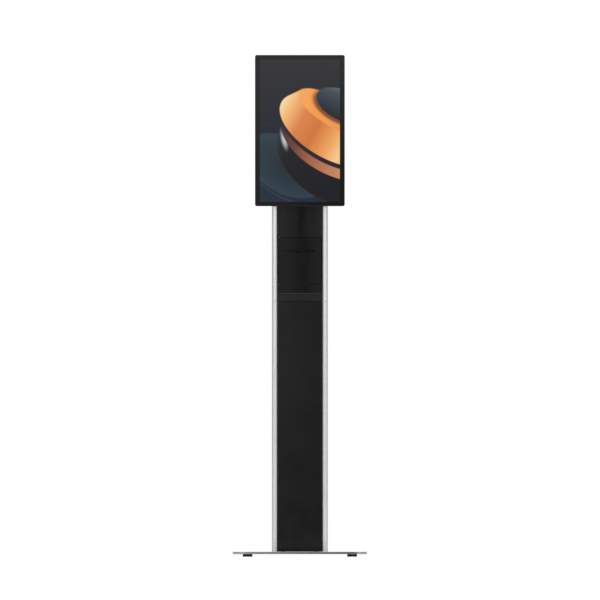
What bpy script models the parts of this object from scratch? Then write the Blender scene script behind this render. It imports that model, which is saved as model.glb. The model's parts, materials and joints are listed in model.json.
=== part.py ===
"""A floor-standing self-service kiosk: a portrait touch display and a receipt printer on a two-rail column.

Metres, +Z up. The origin is on the floor under the centre of the base plate, and the front faces -Y.
"""

import math

import bmesh
import bpy

# Driving dimensions.
PLATE_SIDE = 0.450
PLATE_THICKNESS = 0.008
PLATE_CORNER = 0.045
FOOT_HEIGHT = 0.0085
FOOT_RADIUS = 0.0165
FOOT_SPACING = 0.350
COLUMN_WIDTH = 0.1875
COLUMN_DEPTH = 0.130
COLUMN_TOP = 1.520
RAIL_WIDTH = 0.0185
RAIL_WALL = 0.0022
COVER_SETBACK = 0.009
COVER_BOW = 0.0035
FASCIA_BOW = 0.0075
STAND_TOP = 0.855
DISPLAY_WIDTH = 0.3005
DISPLAY_HEIGHT = 0.5064
DISPLAY_CENTRE_Z = 1.4272
DISPLAY_DEPTH = 0.044
DISPLAY_CORNER = 0.008
VESA_PITCH = 0.100
ROLL_RADIUS = 0.040
ROLL_WIDTH = 0.0795
SLOT_WIDTH = 0.096
SLOT_HEIGHT = 0.0055
SLOT_Z = 1.024

# Clearances and levels that follow from them.
GAP = 0.0003
SEAM = 0.0006
REVEAL = 0.001
PLATE_BOTTOM = FOOT_HEIGHT
PLATE_TOP = FOOT_HEIGHT + PLATE_THICKNESS
BOLT_X = 0.055
BOLT_Y = 0.024
FOOT_FLANGE = 0.006
HALF_COLUMN = COLUMN_WIDTH / 2
HALF_DEPTH = COLUMN_DEPTH / 2
RAIL_X = HALF_COLUMN - RAIL_WIDTH / 2
INNER_X = HALF_COLUMN - RAIL_WIDTH
FILL_X = INNER_X - GAP
COVER_Y = HALF_DEPTH - COVER_SETBACK
SHEET = 0.0015
MOULDING = 0.002
FLANGE_Y = COVER_Y - 0.016
DISPLAY_BACK_Y = -(HALF_DEPTH + 0.0013)
DISPLAY_FRONT_Y = DISPLAY_BACK_Y - DISPLAY_DEPTH
FRAME_DEPTH = 0.018
REAR_COVER_FRONT_Y = DISPLAY_FRONT_Y + FRAME_DEPTH + GAP
GLASS_WIDTH = DISPLAY_WIDTH - 0.0040
GLASS_HEIGHT = DISPLAY_HEIGHT - 0.0040
GLASS_CORNER = DISPLAY_CORNER - 0.002
GLASS_THICKNESS = 0.003
PANEL_WIDTH = 0.2922
PANEL_HEIGHT = 0.4956
PANEL_THICKNESS = 0.0024

# The hinges of both doors: each axis is upright, just inside the left rail.
HINGE_X = -0.069
HINGE_Y = 0.0515
LEAF_X = 0.0725
PIN_RADIUS = 0.002
BORE_RADIUS = PIN_RADIUS + GAP
BARREL_RADIUS = 0.0038
REAR_DOOR_LOW = 0.077
REAR_DOOR_HIGH = 0.8385
SKIRT_TOP = 0.075
BRACE_LOW = 0.842
BRACE_THICKNESS = 0.008
CABLE_HOLE_X = 0.0615
CABLE_HOLE_WIDTH = 0.020
CABLE_HOLE_DEPTH = 0.032

# The covers of the upper unit, from the bottom.
TRIM_LOW = STAND_TOP + SEAM / 2
PRINTER_DOOR_LOW = 0.912
PRINTER_DOOR_HIGH = 1.069
FASCIA_HIGH = 1.200
LENS_Z = 0.882
LENS_HEIGHT = 0.002
LENS_HALF_WIDTH = 0.069

# The printer's mechanism.
SHELF_LOW = 0.857
SHELF_THICKNESS = 0.008
FRAME_HALF_WIDTH = 0.048
FRAME_SHEET = 0.002
FRAME_HIGH = 1.045
ROLL_Y = 0.006
ROLL_Z = 0.912
SPINDLE_RADIUS = 0.0057
PLATEN_Y = -0.014
PLATEN_Z = 1.0165
PLATEN_RADIUS = 0.006
PAPER_THICKNESS = 0.0003
PAPER_Z = PLATEN_Z + PLATEN_RADIUS + GAP + PAPER_THICKNESS / 2
GEAR_MODULE = 0.001
PLATEN_TEETH = 24
PINION_TEETH = 12
GEAR_CENTRES = GEAR_MODULE * (PLATEN_TEETH + PINION_TEETH) / 2 + GAP
MOTOR_ANGLE = math.radians(-57)
MOTOR_Y = PLATEN_Y + GEAR_CENTRES * math.cos(MOTOR_ANGLE)
MOTOR_Z = PLATEN_Z + GEAR_CENTRES * math.sin(MOTOR_ANGLE)
GEAR_X = -0.0525
GEAR_WIDTH = 0.005
SHAFT_RADIUS = 0.0025

# The lock of the rear door and the mains inlet.
LOCK_X = 0.058
LOCK_Z = 0.460
LOCK_RADIUS = 0.008
INLET_X = 0.030
INLET_Z = 0.046
INLET_HALF_WIDTH = 0.023
INLET_HALF_HEIGHT = 0.013
ROCKER_X = INLET_X - 0.014
ROCKER_Y = COVER_Y - 0.0035
ROCKER_TILT = math.radians(7)
BUTTON_Y = -0.084
BUTTON_Z = 1.250
BUTTON_RADIUS = 0.0042

# Finishes: colour, roughness, metallic.
ALUMINIUM = ((0.62, 0.62, 0.61), 0.32, 1.0)
BASE_METAL = ((0.50, 0.50, 0.50), 0.38, 1.0)
STEEL = ((0.55, 0.55, 0.56), 0.35, 1.0)
BLACK_PAINT = ((0.018, 0.018, 0.019), 0.45, 0.0)
GLOSS_BLACK = ((0.014, 0.014, 0.015), 0.12, 0.0)
MATT_BLACK = ((0.022, 0.022, 0.023), 0.55, 0.0)
RUBBER = ((0.015, 0.015, 0.015), 0.8, 0.0)
AMBER = ((0.55, 0.20, 0.06), 0.3, 0.0)
PAPER = ((0.85, 0.84, 0.80), 0.8, 0.0)
BOARD_GREEN = ((0.02, 0.14, 0.06), 0.5, 0.0)
SCREEN_GLASS = ((0.02, 0.02, 0.022), 0.05, 0.0)
SCREEN_PANEL = ((0.06, 0.07, 0.08), 0.3, 0.0)
WHITE_NYLON = ((0.78, 0.77, 0.72), 0.45, 0.0)
BRASS = ((0.60, 0.45, 0.20), 0.35, 1.0)

# How each outline's plane is turned: its thickness, or a turned shape's axis, lies along this axis.
FACING = {
    "X": (math.pi / 2, 0, math.pi / 2),
    "Y": (math.pi / 2, 0, 0),
    "Z": (0, 0, 0),
}
MERGE = 1e-5
SHARP = math.radians(35)
FLAT = math.radians(0.5)
CORNER_STEPS = 6
BOW_STEPS = 14
ROUND_SIDES = 20


def clear_scene():
    for obj in list(bpy.data.objects):
        bpy.data.objects.remove(obj, do_unlink=True)


def collection(name):
    made = bpy.data.collections.new(name)
    bpy.context.scene.collection.children.link(made)
    return made


clear_scene()
PARTS = collection("touchscreen_kiosk")
CUTTERS = collection("cutters")


# Outlines: lists of points in a plane.


def arc(centre, radius, start, end, steps):
    angles = [start + (end - start) * i / steps for i in range(steps + 1)]
    return [(centre[0] + radius * math.cos(a), centre[1] + radius * math.sin(a)) for a in angles]


def circle(radius, centre=(0, 0), sides=ROUND_SIDES):
    return arc(centre, radius, 0, math.tau * (1 - 1 / sides), sides - 1)


def rounded(width, height, radius, centre=(0, 0), steps=CORNER_STEPS):
    """A rectangle with round corners."""
    across = width / 2 - radius
    up = height / 2 - radius
    points = []
    for turn, (side_x, side_y) in enumerate(((1, 1), (-1, 1), (-1, -1), (1, -1))):
        corner = (centre[0] + side_x * across, centre[1] + side_y * up)
        points += arc(corner, radius, turn * math.pi / 2, (turn + 1) * math.pi / 2, steps)
    return points


def stadium(width, length, steps=10):
    """A bar of this width with full-round ends, its length along the second axis."""
    radius = width / 2
    reach = length / 2 - radius
    front = arc((0, -reach), radius, -math.pi, 0, steps)
    back = arc((0, reach), radius, 0, math.pi, steps)
    return front + back


def channel(half_width, outer_y, inner_y, wall):
    """A sheet folded to a C, seen from above: its web at outer_y, its flanges reaching to inner_y."""
    side = math.copysign(wall, outer_y)
    return [
        (-half_width, outer_y),
        (half_width, outer_y),
        (half_width, inner_y),
        (half_width - wall, inner_y),
        (half_width - wall, outer_y - side),
        (-half_width + wall, outer_y - side),
        (-half_width + wall, inner_y),
        (-half_width, inner_y),
    ]


def bow_y(x, bow=COVER_BOW):
    """How far forward a bowed front cover lies at x."""
    return -COVER_Y - bow * (1 - (x / FILL_X) ** 2)


def bowed_edge(left, right, offset=0.0, bow=COVER_BOW, steps=BOW_STEPS):
    places = [left + (right - left) * i / steps for i in range(steps + 1)]
    return [(x, bow_y(x, bow) + offset) for x in places]


def bowed_channel(left, right, flange_left, wall, inner_y, bow=COVER_BOW):
    """A bowed front cover seen from above, with a flange back at its right edge and at flange_left."""
    points = bowed_edge(left, right, bow=bow)
    points += [(right, inner_y), (right - wall, inner_y)]
    points += bowed_edge(right - wall, flange_left + wall, wall, bow)
    points += [(flange_left + wall, inner_y), (flange_left, inner_y)]
    if flange_left > left:
        points += [(flange_left, bow_y(flange_left, bow) + wall), (left, bow_y(left, bow) + wall)]
    return points


def gear_outline(teeth, clearance_radius):
    """Teeth with straight flanks, thinner than their gaps so that they run free."""
    pitch = GEAR_MODULE * teeth / 2
    tip = pitch + 0.8 * GEAR_MODULE
    root = pitch - 1.15 * GEAR_MODULE
    step = math.tau / teeth
    shape = ((-0.29, root), (-0.13, tip), (0.13, tip), (0.29, root))
    points = []
    for tooth in range(teeth):
        for part, radius in shape:
            angle = (tooth + part) * step
            points.append((radius * math.cos(angle), radius * math.sin(angle)))
    return [points, circle(clearance_radius, sides=14)]


# Objects.


def paint(obj, finish):
    colour, roughness, metallic = finish
    material = bpy.data.materials.new(obj.name)
    material.use_nodes = True
    shader = material.node_tree.nodes["Principled BSDF"]
    shader.inputs["Base Color"].default_value = (*colour, 1)
    shader.inputs["Roughness"].default_value = roughness
    shader.inputs["Metallic"].default_value = metallic
    obj.data.materials.append(material)


def place(name, mesh, centre, facing, finish):
    """Adds the object to the parts, or to the cutters where it has no finish."""
    obj = bpy.data.objects.new(name, mesh)
    obj.location = centre
    obj.rotation_euler = FACING[facing]
    if finish is None:
        obj.hide_render = True
        obj.display_type = "WIRE"
        CUTTERS.objects.link(obj)
    else:
        PARTS.objects.link(obj)
        paint(obj, finish)
    return obj


def block(name, low, high, finish=None):
    """A box between two corners."""
    mesh = bpy.data.meshes.new(name)
    shape = bmesh.new()
    bmesh.ops.create_cube(shape, size=1)
    bmesh.ops.scale(shape, vec=[b - a for a, b in zip(low, high)], verts=shape.verts)
    shape.to_mesh(mesh)
    shape.free()
    centre = [(a + b) / 2 for a, b in zip(low, high)]
    return place(name, mesh, centre, "Z", finish)


def prism(name, outlines, thickness, centre, facing, finish=None):
    """A flat shape of even thickness: the first outline is its edge, and the others are its holes."""
    curve = bpy.data.curves.new(name, "CURVE")
    curve.dimensions = "2D"
    curve.fill_mode = "BOTH"
    curve.extrude = thickness / 2
    for outline in outlines:
        spline = curve.splines.new("POLY")
        spline.points.add(len(outline) - 1)
        spline.use_cyclic_u = True
        for point, (across, up) in zip(spline.points, outline):
            point.co = (across, up, 0, 1)
    flat = bpy.data.objects.new(name, curve)
    PARTS.objects.link(flat)
    graph = bpy.context.evaluated_depsgraph_get()
    mesh = bpy.data.meshes.new_from_object(flat.evaluated_get(graph))
    bpy.data.objects.remove(flat)
    weld(mesh)
    return place(name, mesh, centre, facing, finish)


def weld(mesh):
    shape = bmesh.new()
    shape.from_mesh(mesh)
    bmesh.ops.remove_doubles(shape, verts=shape.verts, dist=MERGE)
    bmesh.ops.dissolve_limit(shape, angle_limit=FLAT, verts=shape.verts, edges=shape.edges)
    bmesh.ops.recalc_face_normals(shape, faces=shape.faces)
    shape.to_mesh(mesh)
    shape.free()


def turned(name, profile, centre, facing, finish=None, sides=ROUND_SIDES, hollow=False):
    """A turned shape: (radius, height) points down its outer side, and back up its bore where it's hollow."""
    mesh = bpy.data.meshes.new(name)
    edges = [(i, i + 1) for i in range(len(profile) - 1)]
    if hollow:
        edges.append((len(profile) - 1, 0))
    mesh.from_pydata([(radius, 0, height) for radius, height in profile], edges, [])
    obj = place(name, mesh, centre, facing, finish)
    screw = obj.modifiers.new("Screw", "SCREW")
    screw.steps = sides
    screw.render_steps = sides
    screw.use_merge_vertices = True
    screw.merge_threshold = MERGE
    screw.use_smooth_shade = False
    return obj


def rod(name, radius, length, centre, facing, finish=None, sides=ROUND_SIDES):
    half = length / 2
    profile = [(0, half), (radius, half), (radius, -half), (0, -half)]
    return turned(name, profile, centre, facing, finish, sides)


def combine(obj, other, operation):
    """Cuts the other object away, or joins it on, and keeps it among the cutters."""
    boolean = obj.modifiers.new(other.name, "BOOLEAN")
    boolean.operation = operation
    boolean.object = other
    boolean.solver = "EXACT"


def cut(obj, *cutters):
    for cutter in cutters:
        combine(obj, cutter, "DIFFERENCE")


def join(obj, *others):
    for other in others:
        combine(obj, other, "UNION")


def chamfer(obj, width, segments=1):
    bevel = obj.modifiers.new("Bevel", "BEVEL")
    bevel.width = width
    bevel.segments = segments
    bevel.limit_method = "ANGLE"
    bevel.angle_limit = SHARP


def smooth(obj):
    obj.data.shade_smooth()
    obj.data.set_sharp_from_angle(angle=SHARP)


def pivot(name, location, *children):
    """An empty on a joint's axis that carries the pieces which move with it."""
    empty = bpy.data.objects.new(name, None)
    empty.location = location
    PARTS.objects.link(empty)
    for child in children:
        child.parent = empty
        child.location = [a - b for a, b in zip(child.location, location)]
    return empty


def sides_of(name):
    return ((f"{name}_left", -1), (f"{name}_right", 1))


# The base.


def base_plate():
    hole_depth = 0.006
    hole_radius = 0.0043
    outline = rounded(PLATE_SIDE, PLATE_SIDE, PLATE_CORNER, steps=12)
    middle = (PLATE_BOTTOM + PLATE_TOP) / 2
    plate = prism("base_plate", [outline], PLATE_THICKNESS, (0, 0, middle), "Z", BASE_METAL)
    chamfer(plate, 0.0008)
    for x, y in corners(FOOT_SPACING / 2, FOOT_SPACING / 2):
        hole = rod("foot_hole", hole_radius, 2 * hole_depth, (x, y, PLATE_BOTTOM), "Z", sides=12)
        cut(plate, hole)
    for x, y in corners(BOLT_X, BOLT_Y):
        hole = rod("bolt_hole", hole_radius, 2 * hole_depth, (x, y, PLATE_TOP), "Z", sides=12)
        cut(plate, hole)


def corners(across, along):
    return [(x * across, y * along) for y in (-1, 1) for x in (-1, 1)]


def feet():
    """Rubber feet, each with a moulded stem pushed into the plate."""
    stem_radius = 0.004
    stem_top = PLATE_BOTTOM + 0.0055
    pad_top = PLATE_BOTTOM - GAP
    edge = 0.0012
    profile = [
        (0, stem_top),
        (stem_radius, stem_top),
        (stem_radius, pad_top),
        (FOOT_RADIUS - edge, pad_top),
        (FOOT_RADIUS, pad_top - edge),
        (FOOT_RADIUS, edge),
        (FOOT_RADIUS - edge, 0),
        (0, 0),
    ]
    names = ("foot_front_left", "foot_front_right", "foot_rear_left", "foot_rear_right")
    for name, (x, y) in zip(names, corners(FOOT_SPACING / 2, FOOT_SPACING / 2)):
        smooth(turned(name, profile, (x, y, 0), "Z", RUBBER, sides=24))


def column_foot():
    """A steel channel bolted to the plate; the rails are screwed to its upright sides."""
    side = 0.004
    high = 0.100
    half_depth = 0.033
    low = PLATE_TOP + GAP
    outline = [
        (-FILL_X, low),
        (FILL_X, low),
        (FILL_X, high),
        (FILL_X - side, high),
        (FILL_X - side, low + FOOT_FLANGE),
        (-FILL_X + side, low + FOOT_FLANGE),
        (-FILL_X + side, high),
        (-FILL_X, high),
    ]
    foot = prism("column_foot", [outline], 2 * half_depth, (0, 0, 0), "Y", STEEL)
    for x, y in corners(BOLT_X, BOLT_Y):
        cut(foot, rod("foot_bolt_hole", 0.0044, 0.020, (x, y, low), "Z", sides=12))


def column_bolts():
    seat = PLATE_TOP + GAP + FOOT_FLANGE + GAP
    head_radius = 0.0065
    head_height = 0.008
    shank_radius = 0.004
    socket_radius = 0.0032
    socket_depth = 0.004
    profile = [
        (0, seat + head_height - socket_depth),
        (socket_radius, seat + head_height - socket_depth),
        (socket_radius, seat + head_height),
        (head_radius, seat + head_height),
        (head_radius, seat),
        (shank_radius, seat),
        (shank_radius, PLATE_TOP - 0.0055),
        (0, PLATE_TOP - 0.0055),
    ]
    for number, (x, y) in enumerate(corners(BOLT_X, BOLT_Y), 1):
        smooth(turned(f"column_bolt_{number}", profile, (x, y, 0), "Z", STEEL, sides=16))


# The column.


def rail(name, side, low, high):
    """A hollow extrusion with round front and back."""
    inside = stadium(RAIL_WIDTH - 2 * RAIL_WALL, COLUMN_DEPTH - 2 * RAIL_WALL)
    outlines = [stadium(RAIL_WIDTH, COLUMN_DEPTH), inside]
    smooth(prism(name, outlines, high - low, (side * RAIL_X, 0, (low + high) / 2), "Z", ALUMINIUM))


def rails():
    for name, side in sides_of("lower_rail"):
        rail(name, side, PLATE_TOP + GAP, STAND_TOP - SEAM / 2)
    for name, side in sides_of("upper_rail"):
        rail(name, side, STAND_TOP + SEAM / 2, COLUMN_TOP - GAP)


def rail_joiners():
    """Bars inside the rails, half in the stand and half in the upper unit."""
    half_width = RAIL_WIDTH / 2 - RAIL_WALL - GAP
    half_depth = 0.025
    half_height = 0.060
    for name, side in sides_of("rail_joiner"):
        low = (side * RAIL_X - half_width, -half_depth, STAND_TOP - half_height)
        high = (side * RAIL_X + half_width, half_depth, STAND_TOP + half_height)
        chamfer(block(name, low, high, ALUMINIUM), 0.001)


def cable_hole():
    """The hole beside the printer that the display's and the printer's cables pass through."""
    return rounded(CABLE_HOLE_WIDTH, CABLE_HOLE_DEPTH, 0.004, (CABLE_HOLE_X, 0))


def lower_front_panel():
    low = PLATE_TOP + 2 * GAP
    high = STAND_TOP - SEAM / 2
    outline = channel(FILL_X, -COVER_Y, -FLANGE_Y, SHEET)
    prism("lower_front_panel", [outline], high - low, (0, 0, (low + high) / 2), "Z", BLACK_PAINT)


def stand_brace():
    """The cross plate at the top of the stand; the rear door's upper pin stands in it."""
    front = -0.034
    back = 0.055
    edge = [(-FILL_X, front), (FILL_X, front), (FILL_X, back), (-FILL_X, back)]
    outlines = [edge, cable_hole(), circle(BORE_RADIUS, (HINGE_X, HINGE_Y), 12)]
    middle = BRACE_LOW + BRACE_THICKNESS / 2
    prism("stand_brace", outlines, BRACE_THICKNESS, (0, 0, middle), "Z", STEEL)


def rear_skirt():
    """The fixed panel under the rear door: it holds the mains inlet and the door's lower pin."""
    low = PLATE_TOP + 2 * GAP
    outline = channel(FILL_X, COVER_Y, FLANGE_Y, SHEET)
    middle = (low + SKIRT_TOP) / 2
    skirt = prism("rear_skirt", [outline], SKIRT_TOP - low, (0, 0, middle), "Z", BLACK_PAINT)
    ledge = 0.003
    ledge_low = (-FILL_X + SHEET / 2, FLANGE_Y + SHEET / 2, SKIRT_TOP - ledge)
    ledge_high = (FILL_X - SHEET / 2, COVER_Y - SHEET / 2, SKIRT_TOP - GAP)
    join(skirt, block("skirt_ledge", ledge_low, ledge_high))
    cut(skirt, rod("skirt_pin_hole", BORE_RADIUS, 4 * ledge, (HINGE_X, HINGE_Y, SKIRT_TOP), "Z", sides=12))
    across = INLET_HALF_WIDTH + GAP
    up = INLET_HALF_HEIGHT + GAP
    low_corner = (INLET_X - across, COVER_Y - 3 * SHEET, INLET_Z - up)
    high_corner = (INLET_X + across, COVER_Y + SHEET, INLET_Z + up)
    cut(skirt, block("inlet_cutout", low_corner, high_corner))


def power_inlet():
    """An appliance inlet with three blades beside the well of a rocker switch."""
    flange_half_width = 0.029
    flange_half_height = 0.017
    flange_front = COVER_Y + 0.0025
    body_back = 0.034
    inlet = block(
        "power_inlet",
        (INLET_X - INLET_HALF_WIDTH, body_back, INLET_Z - INLET_HALF_HEIGHT),
        (INLET_X + INLET_HALF_WIDTH, flange_front - GAP, INLET_Z + INLET_HALF_HEIGHT),
        MATT_BLACK,
    )
    flange = block(
        "inlet_flange",
        (INLET_X - flange_half_width, COVER_Y + GAP, INLET_Z - flange_half_height),
        (INLET_X + flange_half_width, flange_front, INLET_Z + flange_half_height),
    )
    join(inlet, flange)
    socket_x = INLET_X + 0.009
    socket_floor = flange_front - 0.015
    socket = (0.0115, 0.008)
    cut(inlet, well("socket_well", socket_x, INLET_Z, socket, socket_floor))
    rocker_well = (0.0063, 0.0098)
    cut(inlet, well("rocker_well", ROCKER_X, INLET_Z, rocker_well, flange_front - 0.014))
    blade = (0.001, 0.002)
    for offset_x, offset_z in ((-0.007, 0), (0.007, 0), (0, 0.003)):
        low = (socket_x + offset_x - blade[0], socket_floor - blade[1], INLET_Z + offset_z - blade[1])
        high = (socket_x + offset_x + blade[0], COVER_Y, INLET_Z + offset_z + blade[1])
        join(inlet, block("inlet_blade", low, high))


def well(name, x, z, half_size, floor_y):
    mouth_y = COVER_Y + 0.010
    low = (x - half_size[0], floor_y, z - half_size[1])
    high = (x + half_size[0], mouth_y, z + half_size[1])
    return block(name, low, high)


def rocker_switch():
    """A rocker with a hollowed face; it rests with one end pressed in."""
    half_width = 0.0058
    face = 0.005
    root = -0.005
    outline = [
        (root, -0.004),
        (face, -0.0083),
        (face - 0.0008, 0),
        (face, 0.0083),
        (root, 0.004),
    ]
    rocker = prism("rocker_switch", [outline], 2 * half_width, (ROCKER_X, ROCKER_Y, INLET_Z), "X", MATT_BLACK)
    axle = pivot("rocker_axis", (ROCKER_X, ROCKER_Y, INLET_Z), rocker)
    axle.rotation_euler = (ROCKER_TILT, 0, 0)


def service_door():
    """The rear door: a sheet with a hinge barrel at each end of its left edge."""
    barrel = 0.024
    inset = 0.001
    low = (-LEAF_X, COVER_Y - SHEET, REAR_DOOR_LOW)
    high = (LEAF_X, COVER_Y, REAR_DOOR_HIGH)
    door = block("service_door", low, high, BLACK_PAINT)
    for name, centre in (
        ("lower", REAR_DOOR_LOW + inset + barrel / 2),
        ("upper", REAR_DOOR_HIGH - inset - barrel / 2),
    ):
        join(door, rod(f"{name}_barrel", BARREL_RADIUS, barrel, (HINGE_X, HINGE_Y, centre), "Z", sides=16))
    for name, centre in (
        ("lower", REAR_DOOR_LOW + inset + barrel / 2),
        ("upper", REAR_DOOR_HIGH - inset - barrel / 2),
    ):
        bore = (HINGE_X, HINGE_Y, centre)
        cut(door, rod(f"{name}_barrel_bore", BORE_RADIUS, 1.2 * barrel, bore, "Z", sides=12))
    cut(door, rod("lock_hole", LOCK_RADIUS + GAP, 0.010, (LOCK_X, COVER_Y, LOCK_Z), "Y"))
    return pivot("service_door_axis", (HINGE_X, HINGE_Y, REAR_DOOR_LOW), door)


def door_pins():
    lower_low = SKIRT_TOP - 0.0045
    lower_high = REAR_DOOR_LOW + 0.016
    upper_low = REAR_DOOR_HIGH - 0.016
    upper_high = BRACE_LOW + 0.0075
    for name, low, high in (
        ("door_pin_lower", lower_low, lower_high),
        ("door_pin_upper", upper_low, upper_high),
    ):
        centre = (HINGE_X, HINGE_Y, (low + high) / 2)
        smooth(rod(name, PIN_RADIUS, high - low, centre, "Z", STEEL, sides=12))


def door_lock():
    """A cam lock: its barrel turns in the door, and its cam turns behind the keeper on the rail."""
    collar = 0.010
    collar_thickness = 0.002
    barrel_inner = 0.040
    collar_back = COVER_Y + GAP
    face = collar_back + collar_thickness
    profile = [
        (0, -barrel_inner),
        (LOCK_RADIUS, -barrel_inner),
        (LOCK_RADIUS, -collar_back),
        (collar, -collar_back),
        (collar, -face),
        (0, -face),
    ]
    barrel = turned("lock_barrel", profile, (LOCK_X, 0, LOCK_Z), "Y", STEEL)
    smooth(barrel)
    slot_low = (LOCK_X - 0.0008, face - 0.003, LOCK_Z - 0.004)
    slot_high = (LOCK_X + 0.0008, face + 0.003, LOCK_Z + 0.004)
    cut(barrel, block("key_slot", slot_low, slot_high))
    cam_half_width = 0.005
    cam_reach = 0.015
    cam_thickness = 0.003
    outline = arc((0, 0), cam_half_width, math.pi, math.tau, 8)
    outline += [(cam_half_width, cam_reach), (-cam_half_width, cam_reach)]
    cam_y = barrel_inner - GAP - cam_thickness / 2
    cam = prism("lock_cam", [outline], cam_thickness, (LOCK_X, cam_y, LOCK_Z), "Y", STEEL)
    return pivot("lock_axis", (LOCK_X, COVER_Y, LOCK_Z), barrel, cam)


def lock_keeper():
    """A small angle on the right rail that the lock's cam turns behind."""
    low_y = 0.042
    thickness = 0.003
    high_y = 0.052
    tip = 0.067
    wall = 0.0018
    half_height = 0.015
    outline = [
        (tip, low_y),
        (FILL_X, low_y),
        (FILL_X, high_y),
        (FILL_X - wall, high_y),
        (FILL_X - wall, low_y + thickness),
        (tip, low_y + thickness),
    ]
    prism("lock_keeper", [outline], 2 * half_height, (0, 0, LOCK_Z), "Z", STEEL)


def power_supply():
    """A closed mains unit that stands on the column foot."""
    low = (-0.045, -0.030, PLATE_TOP + FOOT_FLANGE + 2 * GAP)
    high = (0.045, 0.012, 0.173)
    chamfer(block("power_supply", low, high, STEEL), 0.001)


def cable_duct():
    """A channel up the right rail, open towards the middle of the column, under the cable holes."""
    low = 0.200
    high = 0.835
    depth = 0.020
    half = 0.017
    outline = [
        (FILL_X, half),
        (FILL_X - depth, half),
        (FILL_X - depth, half - SHEET),
        (FILL_X - SHEET, half - SHEET),
        (FILL_X - SHEET, -half + SHEET),
        (FILL_X - depth, -half + SHEET),
        (FILL_X - depth, -half),
        (FILL_X, -half),
    ]
    prism("cable_duct", [outline], high - low, (0, 0, (low + high) / 2), "Z", MATT_BLACK)


# The covers of the upper unit.


def hinge_lug(name, low, high):
    """A block inside a front cover that holds one end of the printer door's rod."""
    inner = -FLANGE_Y - 0.006
    return block(name, (-FILL_X + MOULDING / 2, -COVER_Y + MOULDING / 2, low), (-0.063, inner, high))


def lug_hole(name, centre_z):
    return rod(name, BORE_RADIUS, 0.012, (HINGE_X, -HINGE_Y, centre_z), "Z", sides=12)


def status_trim():
    """The cover between the stand and the printer door, slotted for the status light."""
    high = PRINTER_DOOR_LOW - REVEAL / 2
    outline = bowed_channel(-FILL_X, FILL_X, -FILL_X, MOULDING, -FLANGE_Y)
    middle = (TRIM_LOW + high) / 2
    trim = prism("status_trim", [outline], high - TRIM_LOW, (0, 0, middle), "Z", GLOSS_BLACK)
    join(trim, hinge_lug("trim_lug", 0.903, 0.909))
    cut(trim, lug_hole("trim_lug_hole", 0.906))
    across = LENS_HALF_WIDTH + GAP
    up = LENS_HEIGHT / 2 + GAP
    low_corner = (-across, -COVER_Y - 2 * COVER_BOW, LENS_Z - up)
    high_corner = (across, -COVER_Y + 2 * MOULDING, LENS_Z + up)
    cut(trim, block("lens_slot", low_corner, high_corner))


def status_lens():
    depth = 0.0035
    outline = bowed_edge(-LENS_HALF_WIDTH, LENS_HALF_WIDTH, GAP)
    outline += bowed_edge(LENS_HALF_WIDTH, -LENS_HALF_WIDTH, depth)
    prism("status_lens", [outline], LENS_HEIGHT, (0, 0, LENS_Z), "Z", AMBER)


def status_board():
    """The circuit board with the status lamps."""
    block("status_board", (-0.062, -0.050, 0.869), (0.062, -0.0484, 0.895), BOARD_GREEN)


def printer_door():
    """The bowed door in front of the printer, with its paper slot and two hinge barrels."""
    wall = 0.0025
    flange_y = -0.046
    flange_left = -0.062
    low = PRINTER_DOOR_LOW + REVEAL / 2
    high = PRINTER_DOOR_HIGH - REVEAL / 2
    outline = bowed_channel(-LEAF_X, LEAF_X, flange_left, wall, flange_y)
    door = prism("printer_door", [outline], high - low, (0, 0, (low + high) / 2), "Z", GLOSS_BLACK)
    barrel = 0.018
    centres = (low + 0.001 + barrel / 2, high - 0.001 - barrel / 2)
    for number, centre in enumerate(centres, 1):
        place_z = (HINGE_X, -HINGE_Y, centre)
        join(door, rod(f"printer_barrel_{number}", BARREL_RADIUS, barrel, place_z, "Z", sides=16))
    for number, centre in enumerate(centres, 1):
        place_z = (HINGE_X, -HINGE_Y, centre)
        cut(door, rod(f"printer_bore_{number}", BORE_RADIUS, 1.2 * barrel, place_z, "Z", sides=12))
    slot = rounded(SLOT_WIDTH, SLOT_HEIGHT, 0.002, steps=3)
    cut(door, prism("paper_slot", [slot], 0.020, (0, -COVER_Y, SLOT_Z), "Y"))
    pivot("printer_door_axis", (HINGE_X, -HINGE_Y, low), door)


def printer_door_rod():
    low = 0.9035
    high = 1.0775
    centre = (HINGE_X, -HINGE_Y, (low + high) / 2)
    smooth(rod("printer_door_rod", PIN_RADIUS, high - low, centre, "Z", STEEL, sides=12))


def upper_fascia():
    """The plain cover under the display, bowed more than the door; it reaches up behind the display."""
    low = PRINTER_DOOR_HIGH + REVEAL / 2
    outline = bowed_channel(-FILL_X, FILL_X, -FILL_X, MOULDING, -FLANGE_Y, FASCIA_BOW)
    middle = (low + FASCIA_HIGH) / 2
    fascia = prism("upper_fascia", [outline], FASCIA_HIGH - low, (0, 0, middle), "Z", GLOSS_BLACK)
    join(fascia, hinge_lug("fascia_lug", 1.072, 1.078))
    cut(fascia, lug_hole("fascia_lug_hole", 1.075))


def upper_back_cover():
    """The fixed rear cover of the upper unit, with air slots near its top."""
    low = STAND_TOP + REVEAL
    high = COLUMN_TOP - REVEAL
    outline = channel(FILL_X, COVER_Y, FLANGE_Y, SHEET)
    middle = (low + high) / 2
    cover = prism("upper_back_cover", [outline], high - low, (0, 0, middle), "Z", BLACK_PAINT)
    slots = 6
    pitch = 0.014
    half_width = 0.040
    half_height = 0.002
    for number in range(slots):
        z = high - 0.040 - number * pitch
        low_corner = (-half_width, COVER_Y - 2 * SHEET, z - half_height)
        high_corner = (half_width, COVER_Y + SHEET, z + half_height)
        cut(cover, block(f"air_slot_{number + 1}", low_corner, high_corner))


def column_cap():
    thickness = 0.003
    outline = rounded(COLUMN_WIDTH, COLUMN_DEPTH, RAIL_WIDTH / 2)
    cap = prism("column_cap", [outline], thickness, (0, 0, COLUMN_TOP + thickness / 2), "Z", BLACK_PAINT)
    chamfer(cap, 0.0008)


# The printer.


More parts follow.
